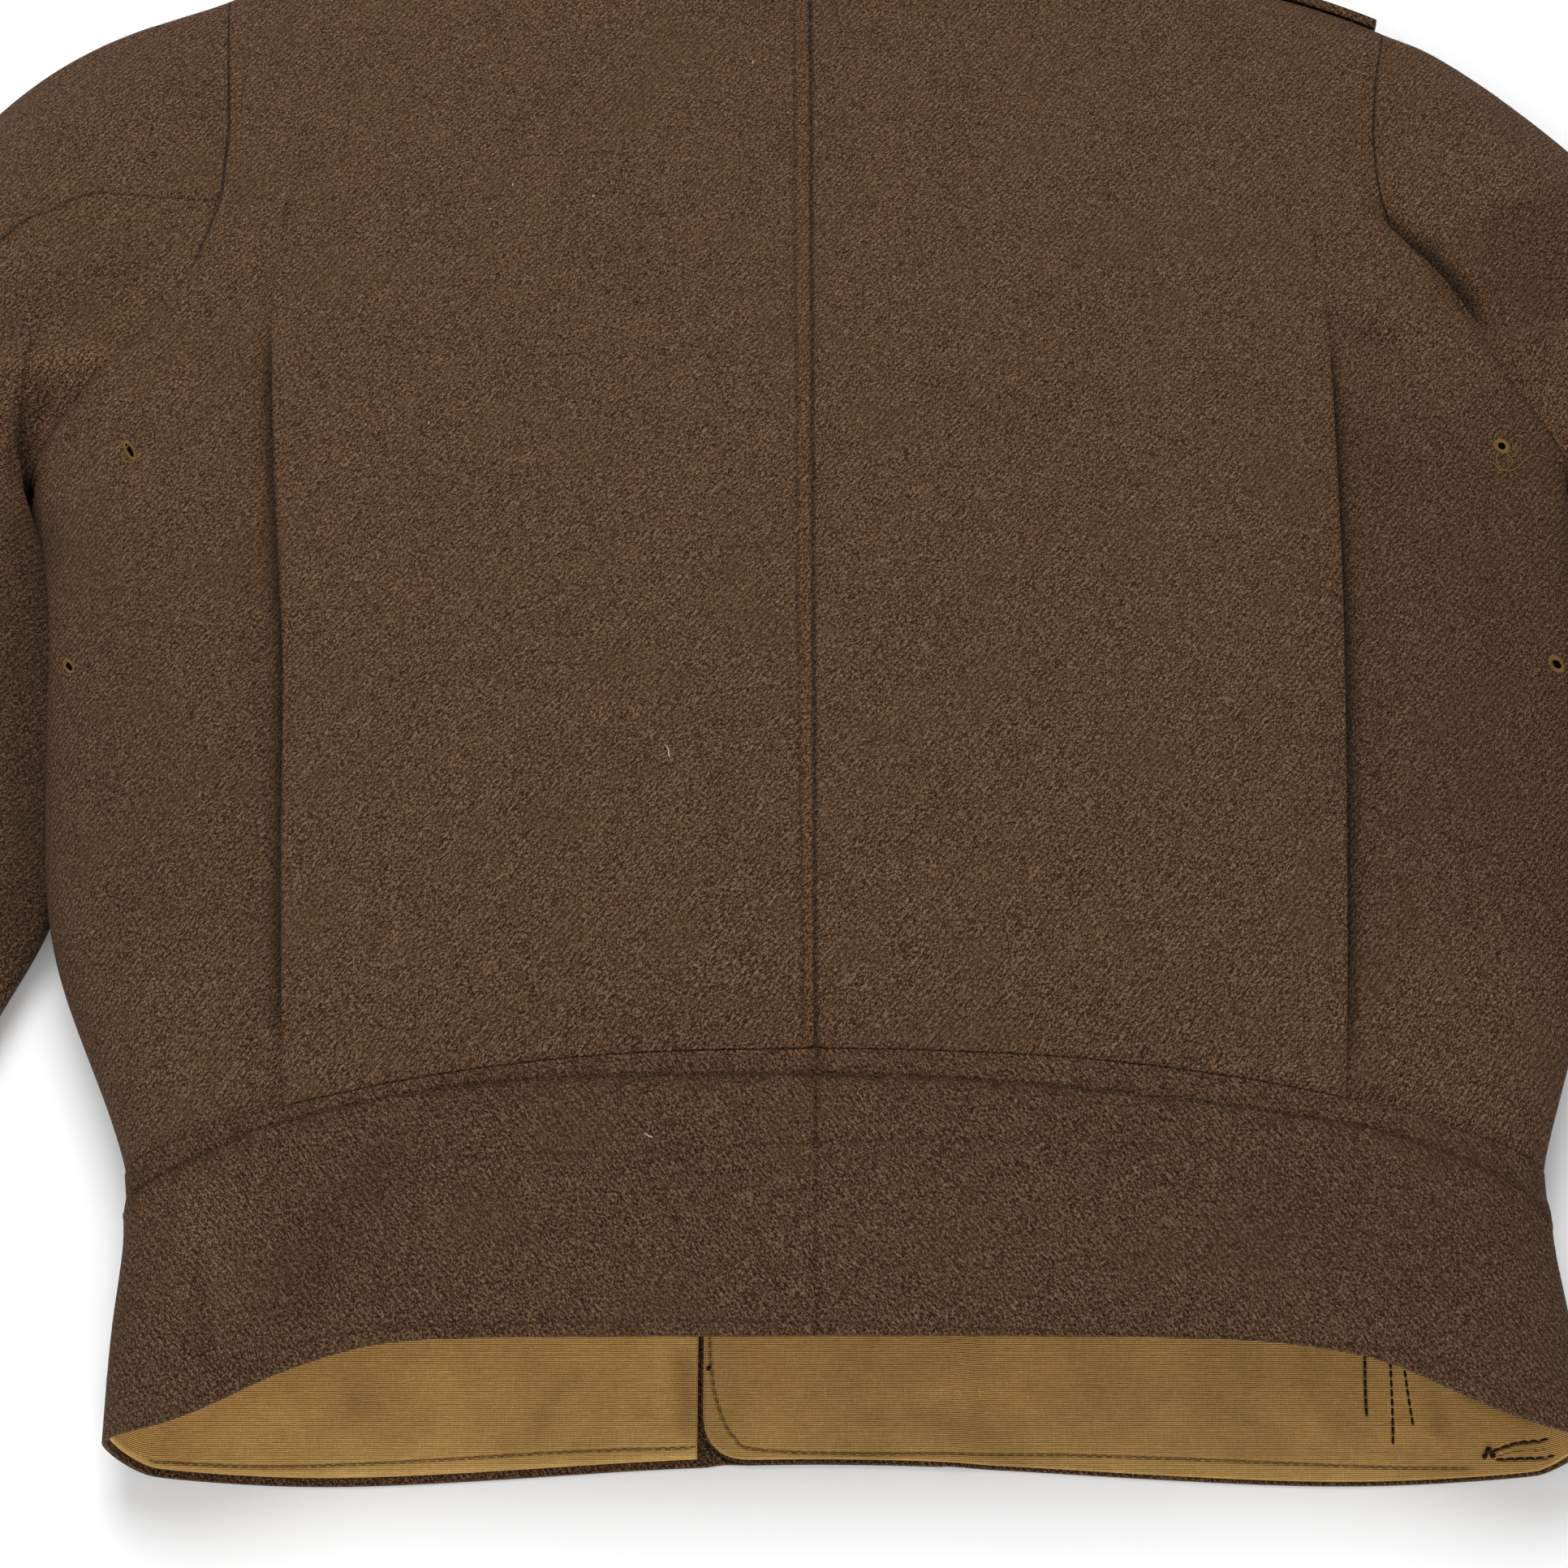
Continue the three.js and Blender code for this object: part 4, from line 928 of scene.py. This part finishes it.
@dataclass
class Blouse:
    """The body of the jacket: two halves of the back and the two fronts they lie on."""

    back_cuts: dict[Side, Cut] = field(
        default_factory=lambda: {Side.LEFT: Cut(0.30, 0.54, 0.138), Side.RIGHT: Cut(0.30, 0.53, 0.135)}
    )
    front_cuts: dict[Side, Cut] = field(
        default_factory=lambda: {Side.LEFT: Cut(0.31, 0.53, 0.136), Side.RIGHT: Cut(0.31, 0.52, 0.133)}
    )

    def folds(self, side: Side) -> tuple[Fold, ...]:
        """The folds in one half of the back."""
        if side is Side.LEFT:
            own = (
                Fold(Patterns.pleat_left, 1.6, 5.0, Flank.RIGHT, fade=0.3, stand_off=0.5),
                Fold(Patterns.left_ridge, -3.6, 7.0),
                Fold(Patterns.left_crease, 4.0, 4.5),
            )
        else:
            own = (
                Fold(Patterns.pleat_right, 1.6, 5.0, Flank.LEFT, fade=0.3, stand_off=0.5),
                Fold(Patterns.right_fold, 4.5, 3.4, fade=0.3),
                Fold(Patterns.right_ridge, -2.0, 6.0),
                Fold(Patterns.right_minor, 1.0, 4.0),
            )
        gathers = tuple(Fold(line, 1.3, 3.2, fade=0.35) for line in Patterns.gathers)
        swells = tuple(Fold(line, -0.5, 9.0, fade=0.4) for line in Patterns.swells)
        return own + gathers + swells

    def shadows(self, side: Side) -> tuple[Shadow, ...]:
        """The painted shade on one half of the back: beside its pleat, in its creases and hollows, towards
        its side and above the waist.
        """
        low = Shadow(Patterns.low_back, 0.93, 9.0)
        if side is Side.LEFT:
            return (
                Shadow(Patterns.pleat_left, 0.86, 14.0, Flank.RIGHT),
                Shadow(Patterns.left_lobe, 0.72, 6.0),
                Shadow(Patterns.side_left, 0.9, 34.0),
                low,
            )
        return (
            Shadow(Patterns.pleat_right, 0.84, 16.0, Flank.LEFT),
            Shadow(Patterns.right_minor, 0.78, 5.0),
            Shadow(Patterns.right_hollow, 0.8, 26.0),
            Shadow(Patterns.side_right, 0.8, 40.0),
            low,
        )

    def edges(self, side: Side) -> tuple[Edge, ...]:
        """The painted shade beside the folded edges on one half of the back."""
        if side is Side.LEFT:
            return (Edge(Patterns.pleat_left, Flank.RIGHT, 0.72),)
        return Edge(Patterns.pleat_right, Flank.LEFT, 0.72), Edge(Patterns.right_fold, Flank.LEFT, 0.75, 0.3)

    def panels(self) -> list[Panel]:
        """The blouse's four pieces of cloth."""
        pieces = []
        for side in Side:
            word = side.word
            sewn_to = (f"waistband_{word}", f"upper_sleeve_{word}", f"under_sleeve_{word}")
            back = Panel(
                f"back_{word}", "blouse_wool", self.back_cuts[side], levels=3, rests_on=(f"front_{word}",),
                beside=(f"back_{side.opposite.word}", *sewn_to), folds=self.folds(side),
                rows=(Row(Patterns.lap_row, 0.5),) if side is Side.LEFT else (), shadows=self.shadows(side),
                edges=self.edges(side), plain_seams=(Patterns.left_seam_end, Patterns.right_seam_end),
            )
            front = Panel(f"front_{word}", "blouse_wool", self.front_cuts[side], beside=sewn_to)
            pieces += [back, front]
        return pieces


@dataclass
class Waistband:
    """The deep band round the waist, with its lining."""

    wool_cuts: dict[Side, Cut] = field(
        default_factory=lambda: {Side.LEFT: Cut(0.5, 0.095, 0.0453), Side.RIGHT: Cut(0.52, 0.095, 0.0475)}
    )
    lining_cuts: dict[Side, Cut] = field(
        default_factory=lambda: {Side.LEFT: Cut(0.45, 0.076, 0.0309), Side.RIGHT: Cut(0.51, 0.077, 0.0389)}
    )
    # The width of the painted shade along each lining crease, in millimetres.
    lining_crease: float = 3.5

    def panels(self) -> list[Panel]:
        """The band's two wool pieces and two lining pieces."""
        folds = (
            Fold(Patterns.strip_row, 0.7, 1.8, fade=0.05),
            Fold(Patterns.second_row, 0.5, 4.0),
            Fold(Patterns.band_crease, 0.9, 2.2),
            Fold(Patterns.band_valley, 1.8, 8.0, fade=0.3),
        )
        rows = (Row(Patterns.strip_row, 0.6), Row(Patterns.second_row, 0.3), Row(Patterns.hem_row, 0.3))
        # Painted shade in the band's crease and valley and towards its right end, and a painted highlight on
        # its left corner.
        shadows = (
            Shadow(Patterns.band_crease, 0.75, 2.0),
            Shadow(Patterns.band_valley, 0.8, 11.0),
            Shadow(Patterns.band_corner, 1.2, 15.0),
            Shadow(Patterns.band_right, 0.93, 22.0),
        )
        # The lining's creases are painted shade only.
        creases = tuple(Shadow(line, tint, self.lining_crease) for line, tint in Patterns.lining_creases)
        lining_rows = {
            Side.LEFT: (Row(Patterns.lining_row_left, 0.8),),
            Side.RIGHT: (Row(Patterns.lining_row_right, 0.8), *(Row(line) for line in Patterns.dark_rows)),
        }
        pieces = []
        for side in Side:
            word = side.word
            band = Panel(
                f"waistband_{word}", "band_wool", self.wool_cuts[side], levels=3,
                beside=(f"waistband_{side.opposite.word}", f"back_{word}", f"front_{word}"), folds=folds,
                rows=rows, shadows=shadows, seam_depth=0.5,
            )
            lining = Panel(
                f"waistband_lining_{word}", f"drill_{word}", self.lining_cuts[side], slot="drill_tan",
                levels=3, rests_on=(f"waistband_{word}",), folds=folds, rows=lining_rows[side],
                shadows=creases, shaded_from=BELOW_ALL,
            )
            pieces += [band, lining]
        return pieces


@dataclass
class Sleeve:
    """One two-piece sleeve with its cuff."""

    side: Side
    upper: Cut
    under: Cut
    cuff: Cut

    def lay(self) -> dict[str, object]:
        """How the sleeve lies at its armhole: folds, painted shade and highlight, edges, swells and seams
        that stay plain.
        """
        if self.side is Side.LEFT:
            return {
                "folds": (Fold(Patterns.left_ridge, -3.6, 7.0), Fold(Patterns.left_crease, 4.0, 4.5)),
                # Painted shade in the crease, on the sleeve beside the body and below the seam, and a painted
                # highlight on the ridge.
                "shadows": (
                    Shadow(Patterns.left_crease, 0.6, 4.0),
                    Shadow(Patterns.left_inner_edge, 0.5, 17.0),
                    Shadow(Patterns.left_hollow, 0.86, 12.0),
                    Shadow(Patterns.left_ridge_light, 1.2, 5.0),
                ),
                "swells": (Swell(Patterns.left_inner_edge, (9.0, 0.0), 13.0),),
                "plain_seams": (Patterns.left_seam_end,),
            }
        return {
            "folds": (Fold(Patterns.right_fold, 4.5, 3.4, fade=0.3), Fold(Patterns.right_ridge, -2.0, 6.0)),
            # Painted shade in the hollow under the arm.
            "shadows": (Shadow(Patterns.right_hollow, 0.7, 26.0),),
            "edges": (Edge(Patterns.right_fold, Flank.LEFT, 0.75, 0.3),),
            "plain_seams": (Patterns.right_seam_end, Patterns.right_back_seam),
        }

    def panels(self) -> list[Panel]:
        """The sleeve's three pieces of cloth."""
        word = self.side.word
        upper, under, cuff = f"upper_sleeve_{word}", f"under_sleeve_{word}", f"cuff_{word}"
        body = (f"back_{word}", f"front_{word}")
        lay = self.lay()
        lay.update(levels=3, shaded_from=BELOW_ALL)
        return [
            Panel(upper, "blouse_wool", self.upper, beside=(under, cuff, *body), **lay),
            Panel(under, "blouse_wool", self.under, beside=(upper, cuff, *body), **lay),
            Panel(cuff, "band_wool", self.cuff, beside=(upper, under)),
        ]


@dataclass
class Neckline:
    """The collar and the two shoulder straps."""

    collar: Cut
    straps: dict[Side, Cut]

    def panels(self) -> list[Panel]:
        """The collar and the straps."""
        straps = [Panel(f"shoulder_strap_{side.word}", "band_wool", self.straps[side]) for side in Side]
        return [Panel("collar", "blouse_wool", self.collar), *straps]


class Surface:
    """The finished cloth, felt from above, so that small things lie on it."""

    def __init__(self, pieces: list[bpy.types.Object]) -> None:
        """Gathers the pieces of cloth into one searchable surface."""
        bm = bmesh.new()
        for piece in pieces:
            bm.from_mesh(piece.data)
        self.tree = BVHTree.FromBMesh(bm)
        bm.free()

    def at(self, x: float, y: float, ceiling: float = ABOVE_ALL) -> tuple[Vector, Vector] | None:
        """The cloth's place and normal under a point.

        Args:
            x: the point's X in millimetres.
            y: its Y.
            ceiling: height in millimetres from which the cloth is felt.

        Returns:
            The place in metres and the cloth's normal, or nothing beside the cloth.
        """
        place, normal, _, _ = self.tree.ray_cast(Vector((x, y, ceiling)) * MM, Vector((0, 0, -1)))
        return None if place is None else (place, normal if normal.z > 0 else -normal)


@dataclass
class Trimming:
    """Any small things on the cloth, gathered in one mesh."""

    name: str
    finish: str
    slot: str = "wool_khaki"
    bm: bmesh.types.BMesh = field(default_factory=bmesh.new)

    def grain(self, at: Vector, along: Vector, up: Vector, size: Triple) -> None:
        """Adds one stitch or knot: a small rounded body.

        Args:
            at: its middle, in metres.
            along: the direction it lies in.
            up: the cloth's normal there.
            size: half its length, width and height, in millimetres.
        """
        along = (along - up * along.dot(up)).normalized()
        turn = Matrix((along, up.cross(along), up)).transposed().to_4x4()
        matrix = Matrix.Translation(at) @ turn @ Matrix.Diagonal((*size, 1 / MM)) * MM
        bmesh.ops.create_icosphere(self.bm, subdivisions=1, radius=1.0, matrix=matrix)

    def finish_off(self, finishes: Finishes) -> None:
        """Turns what was gathered into a piece."""
        bmesh.ops.recalc_face_normals(self.bm, faces=self.bm.faces)
        mesh = bpy.data.meshes.new(self.name)
        self.bm.to_mesh(mesh)
        self.bm.free()
        mesh.shade_smooth()
        add_piece(self.name, mesh, finishes[self.finish])


@dataclass
class Stitching:
    """One kind of row of visible thread."""

    surface: Surface
    into: Trimming
    half: Triple = (1.15, 0.24, 0.16)
    ceiling: float = ABOVE_ALL
    low: float = 0.0
    sunk: float = 0.05

    def row(self, line: Line) -> None:
        """Lays stitches along a line, each drawn a little into the cloth."""
        curve = line.curve()
        reach = np.concatenate([[0.0], np.cumsum(np.hypot(*np.diff(curve, axis=0).T))])
        places = np.arange(STITCH_PITCH / 2, reach[-1], STITCH_PITCH)
        xs, ys = (np.interp(places, reach, curve[:, axis]) for axis in (0, 1))
        ahead = (np.interp(places + 1.0, reach, curve[:, axis]) for axis in (0, 1))
        for x, y, next_x, next_y in zip(xs, ys, *ahead):
            found = self.surface.at(x, y, self.ceiling)
            if found is None or found[0].z < self.low * MM:
                continue
            place, normal = found
            along = Vector((next_x - x, next_y - y, 0.0))
            self.into.grain(place - normal * self.sunk * MM, along, normal, self.half)


@dataclass
class Eyelet:
    """One embroidered ventilation eyelet: a ring of radial stitches round a small hole, drawn as a flat dark
    disc of painted shade.
    """

    x: float
    y: float
    hole: tuple[float, float]
    turn: float = 0.0
    ring: float = 2.3
    stitches: int = 34
    raggedness: float = 0.3

    def sew(self, surface: Surface, thread: Trimming, hole: Trimming) -> None:
        """Lays the ring's stitches on the cloth, and a flat dark disc of painted shade for its hole."""
        place, up = surface.at(self.x, self.y)
        side = Vector((math.cos(self.turn), math.sin(self.turn), 0.0))
        side = (side - up * side.dot(up)).normalized()
        front = up.cross(side)
        width, length = self.hole
        for index in range(self.stitches):
            angle = math.tau * index / self.stitches
            out = side * math.cos(angle) + front * math.sin(angle)
            reach = Vector((width * math.cos(angle), length * math.sin(angle)))
            ragged = 0.85 + self.raggedness * noise.noise((index * 0.9, self.x, self.y))
            at = place + (side * reach.x + front * reach.y + out * self.ring * 0.5 * ragged) * MM
            thread.grain(at + up * 0.1 * MM, out, up, (self.ring * 0.6 * ragged, 0.26, 0.32))
        # The hole is not cut: a flat dark disc on the cloth paints its shade.
        hole.grain(place + up * 0.02 * MM, side, up, (width * 1.15, length * 1.15, 0.12))


class Fibres:
    """Loose ends, pills and nap: fine hairs that lie on the cloth."""

    def __init__(self, name: str, finish: str, thickness: float) -> None:
        """Starts the curve that takes the fibres.

        Args:
            name: the name of the piece that they become.
            finish: the name of its material.
            thickness: half a fibre's width, in millimetres.
        """
        self.name = name
        self.finish = finish
        self.curve = bpy.data.curves.new(name, "CURVE")
        self.curve.dimensions = "3D"
        self.curve.bevel_depth = thickness * MM
        self.curve.bevel_resolution = 0
        self.curve.use_fill_caps = True

    def strand(self, points: list[Vector], tip: float = 0.45) -> None:
        """Adds one fibre through the points, tapered at its ends."""
        spline = self.curve.splines.new("POLY")
        spline.points.add(len(points) - 1)
        for index, (point, place) in enumerate(zip(spline.points, points)):
            point.co = (*place, 1.0)
            point.radius = tip if index in (0, len(points) - 1) else 1.0

    def finish_off(self, finishes: Finishes) -> None:
        """Turns the fibres into a piece."""
        add_piece(self.name, evaluated(self.curve), finishes[self.finish])


@dataclass
class Details:
    """Sewing, eyelets, loose ends and lint on the finished cloth."""

    surface: Surface
    chance: random.Random = field(default_factory=lambda: random.Random(46))
    eyelets: tuple[Eyelet, ...] = (
        Eyelet(-235.5, 40.3, (0.7, 3.4), math.radians(28), ring=1.5),
        Eyelet(-250.4, -42.3, (0.8, 2.8), math.radians(35), ring=1.5),
        Eyelet(243.3, 43.5, (1.4, 1.4)),
        Eyelet(254.8, -42.2, (1.9, 1.6)),
    )
    heavy_thread: Triple = (1.75, 0.55, 0.35)
    pilled_middle: float = 120.0
    pills: tuple[int, int] = (9, 4)
    nap_fibres: int = 5200
    nap_over: tuple[tuple[float, float], tuple[float, float]] = ((-300, 300), (-308, 262))
    path_steps: int = 5

    def build(self, finishes: Finishes) -> None:
        """Makes every detail."""
        makers = (self.rows, self.openings, self.waist_pills, self.nap, self.loose_threads, self.lint)
        for make in makers:
            make(finishes)

    def rows(self, finishes: Finishes) -> None:
        """Sews the rows on the wool and the lining, and the three dark rows with their knotted loop."""
        wool = Trimming("wool_stitches", "wool_thread")
        stitching = Stitching(self.surface, wool, low=UPPER_SIDE)
        for line in (Patterns.lap_row, Patterns.strip_row, Patterns.second_row, Patterns.hem_row):
            stitching.row(line)
        wool.finish_off(finishes)
        tan = Trimming("lining_stitches", "tan_thread", "drill_tan")
        stitching = Stitching(self.surface, tan, ceiling=LINING_CEILING)
        for line in (Patterns.lining_row_left, Patterns.lining_row_right):
            stitching.row(line)
        tan.finish_off(finishes)
        dark = Trimming("dark_stitches", "dark_thread", "drill_tan")
        stitching = Stitching(self.surface, dark, half=self.heavy_thread, ceiling=LINING_CEILING)
        for line in Patterns.dark_rows:
            stitching.row(line)
        for x, y, size in Patterns.dark_knots:
            place, up = self.surface.at(x, y, LINING_CEILING)
            dark.grain(place + up * size * 0.3 * MM, Vector((1, 1, 0)), up, (size, size * 0.8, size * 0.55))
        dark.finish_off(finishes)

    def openings(self, finishes: Finishes) -> None:
        """Embroiders the eyelets and lays their discs of painted shade."""
        thread = Trimming("eyelet_thread", "eyelet_thread")
        hole = Trimming("eyelet_hole_shade", "hole")
        for eyelet in self.eyelets:
            eyelet.sew(self.surface, thread, hole)
        thread.finish_off(finishes)
        hole.finish_off(finishes)

    def wander(self, x: float, y: float, length: float, lift: float, bend: float) -> list[Vector]:
        """A crooked path on the cloth.

        Args:
            x: where it starts, in millimetres.
            y: where it starts.
            length: its length in millimetres.
            lift: how far its middle stands off the cloth.
            bend: how much it turns, in radians per step.

        Returns:
            Its points in metres, or none where it leaves the cloth.
        """
        angle = self.chance.uniform(0, math.tau)
        points = []
        spans = self.path_steps - 1
        for index in range(self.path_steps):
            found = self.surface.at(x, y)
            if found is None:
                return []
            place, up = found
            points.append(place + up * (0.1 + lift * math.sin(math.pi * index / spans)) * MM)
            x += math.cos(angle) * length / spans
            y += math.sin(angle) * length / spans
            angle += self.chance.uniform(-bend, bend)
        return points

    def waist_pills(self, finishes: Finishes) -> None:
        """Adds the frayed pills along the waist, thickest at its middle."""
        pills = Fibres("waist_pills", "pill", 0.13)
        many, few = self.pills
        for x, y in Patterns.strip_row.curve():
            for _ in range(many if abs(x) < self.pilled_middle else few):
                start = x + self.chance.uniform(-6, 6), y + self.chance.gauss(-0.6, 0.9)
                points = self.wander(*start, self.chance.uniform(3, 8), self.chance.uniform(0.1, 0.7), 1.1)
                if points:
                    pills.strand(points)
        pills.finish_off(finishes)

    def nap(self, finishes: Finishes) -> None:
        """Scatters the nap's longer hairs over the jacket's upper side."""
        nap = Fibres("nap", "nap", 0.045)
        across, up = self.nap_over
        for _ in range(self.nap_fibres):
            start = self.chance.uniform(*across), self.chance.uniform(*up)
            lift = self.chance.uniform(0.1, 0.7)
            points = self.wander(*start, self.chance.uniform(1.5, 5.0), lift, 0.9)
            if points and points[0].z > UPPER_SIDE * MM:
                nap.strand(points)
        nap.finish_off(finishes)

    def loose_threads(self, finishes: Finishes) -> None:
        """Lays the loose ends of thread at the eyelets."""
        loose = Fibres("loose_eyelet_thread", "eyelet_thread", 0.24)
        for line in Patterns.loose_threads:
            places = (self.surface.at(float(x), float(y)) for x, y in line.curve())
            loose.strand([place + up * 0.35 * MM for place, up in places])
        loose.finish_off(finishes)

    def lint(self, finishes: Finishes) -> None:
        """Drops the few bits of lint."""
        lint = Fibres("lint", "lint", 0.22)
        for x, y, length in Patterns.lint:
            lint.strand(self.wander(x, y, length, 0.3, 0.5))
        lint.finish_off(finishes)


@dataclass(frozen=True)
class Lamp:
    """One soft round light: its place and width in metres and its power in watts."""

    name: str
    place: Triple
    width: float
    power: float

    def hang(self) -> None:
        """Hangs the light so that it looks at the jacket."""
        data = bpy.data.lights.new(self.name, "AREA")
        data.shape = "DISK"
        data.size = self.width
        data.energy = self.power
        light = bpy.data.objects.new(self.name, data)
        light.location = self.place
        light.rotation_euler = (-Vector(self.place)).to_track_quat("-Z", "Y").to_euler()
        bpy.context.collection.objects.link(light)


@dataclass
class Studio:
    """The pale table, the soft light and the camera."""

    camera_at: Triple = (-0.0075, -0.6435, 1.1286)
    looks_at: Triple = (-0.0075, -0.0837, 0.030)
    lens: float = 84.2
    sensor: float = 36.0
    nearest: float = 0.01
    table: float = 9.0
    sky: Triple = (0.97, 0.985, 1.0)
    sky_strength: float = 0.37
    lamps: tuple[Lamp, ...] = (
        Lamp("key", (-0.15, 0.6, 1.4), 1.0, 17.0),
        Lamp("fill", (-1.5, -0.2, 2.0), 2.0, 3.0),
        Lamp("front", (0.0, -2.0, 1.2), 2.2, 30.0),
    )

    def build(self, finishes: Finishes) -> None:
        """Sets the table, the lights and the camera."""
        bm = bmesh.new()
        bmesh.ops.create_grid(bm, x_segments=2, y_segments=2, size=self.table / 2)
        mesh = bpy.data.meshes.new("table")
        bm.to_mesh(mesh)
        bm.free()
        table = bpy.data.objects.new("table", mesh)
        mesh.materials.append(finishes["table"])
        bpy.context.collection.objects.link(table)
        for lamp in self.lamps:
            lamp.hang()
        world = bpy.data.worlds.new("studio")
        world.use_nodes = True
        background = world.node_tree.nodes["Background"]
        background.inputs[0].default_value = (*self.sky, 1.0)
        background.inputs[1].default_value = self.sky_strength
        bpy.context.scene.world = world
        bpy.context.scene.view_settings.view_transform = "Standard"
        self.camera()

    def camera(self) -> None:
        """Places the camera as in the photograph."""
        lens = bpy.data.cameras.new("camera")
        lens.lens = self.lens
        lens.sensor_width = self.sensor
        lens.clip_start = self.nearest
        camera = bpy.data.objects.new("camera", lens)
        camera.location = self.camera_at
        aim = Vector(self.looks_at) - Vector(self.camera_at)
        camera.rotation_euler = aim.to_track_quat("-Z", "Y").to_euler()
        bpy.context.collection.objects.link(camera)
        bpy.context.scene.camera = camera


def solid_trees() -> Trees:
    """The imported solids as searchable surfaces, by name."""
    trees = {}
    for name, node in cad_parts.items():
        bm = bmesh.new()
        bm.from_mesh(node.data)
        trees[name] = BVHTree.FromBMesh(bm)
        bm.free()
    return trees


def make_finishes() -> Finishes:
    """Makes every material of the jacket and the table, by the names that the pieces call them."""
    white = (0.96, 0.96, 0.96)
    finishes = {
        "blouse_wool": WoolFinish("khaki_wool"),
        "band_wool": WoolFinish("khaki_wool_band", lean=Lean.FALLING, tone=0.62),
        # The right lining is a darker copy of the same drill: painted shade, for the band's shadow that it
        # lies in.
        "drill_left": DrillFinish("tan_drill", tone=1.02),
        "drill_right": DrillFinish("tan_drill_shaded", tone=0.85),
        "wool_thread": PlainFinish("brown_thread", (0.05, 0.026, 0.014)),
        "tan_thread": PlainFinish("tan_thread", (0.16, 0.085, 0.03)),
        "dark_thread": PlainFinish("dark_thread", (0.028, 0.012, 0.008)),
        "eyelet_thread": PlainFinish("khaki_thread", (0.175, 0.102, 0.031), spread=0.9),
        # A near-black colour for the eyelets' holes: painted shade.
        "hole": PlainFinish("eyelet_shade", (0.004, 0.0025, 0.002), gloss=0.0),
        "pill": PlainFinish("wool_pill", (0.085, 0.04, 0.022), grain=3.0, spread=1.4),
        "nap": PlainFinish("nap_hair", (0.2, 0.125, 0.065), grain=9.0, spread=1.5),
        "lint": PlainFinish("pale_lint", (0.5, 0.42, 0.33)),
        "table": PlainFinish("table_white", white, grain=300.0, depth=0.0, spread=0.02),
    }
    return {name: finish.material() for name, finish in finishes.items()}


def main() -> None:
    """Builds the jacket, piece by piece, and its studio."""
    logging.basicConfig(level=logging.INFO, format="%(name)s: %(message)s")
    finishes = make_finishes()
    trees = solid_trees()
    assemblies = (
        Blouse(),
        Waistband(),
        Sleeve(Side.LEFT, Cut(0.24, 0.5, 0.0854), Cut(0.14, 0.42, 0.0518), Cut(0.29, 0.08, 0.0222)),
        Sleeve(Side.RIGHT, Cut(0.24, 0.49, 0.0854), Cut(0.13, 0.42, 0.0364), Cut(0.28, 0.08, 0.0209)),
        Neckline(
            Cut(0.42, 0.105, 0.042),
            {Side.LEFT: Cut(0.045, 0.105, 0.0045), Side.RIGHT: Cut(0.05, 0.105, 0.0047)},
        ),
    )
    pieces = [panel.build(finishes, trees) for assembly in assemblies for panel in assembly.panels()]
    Details(Surface(pieces)).build(finishes)
    Studio().build(finishes)


if __name__ == "__main__":
    main()
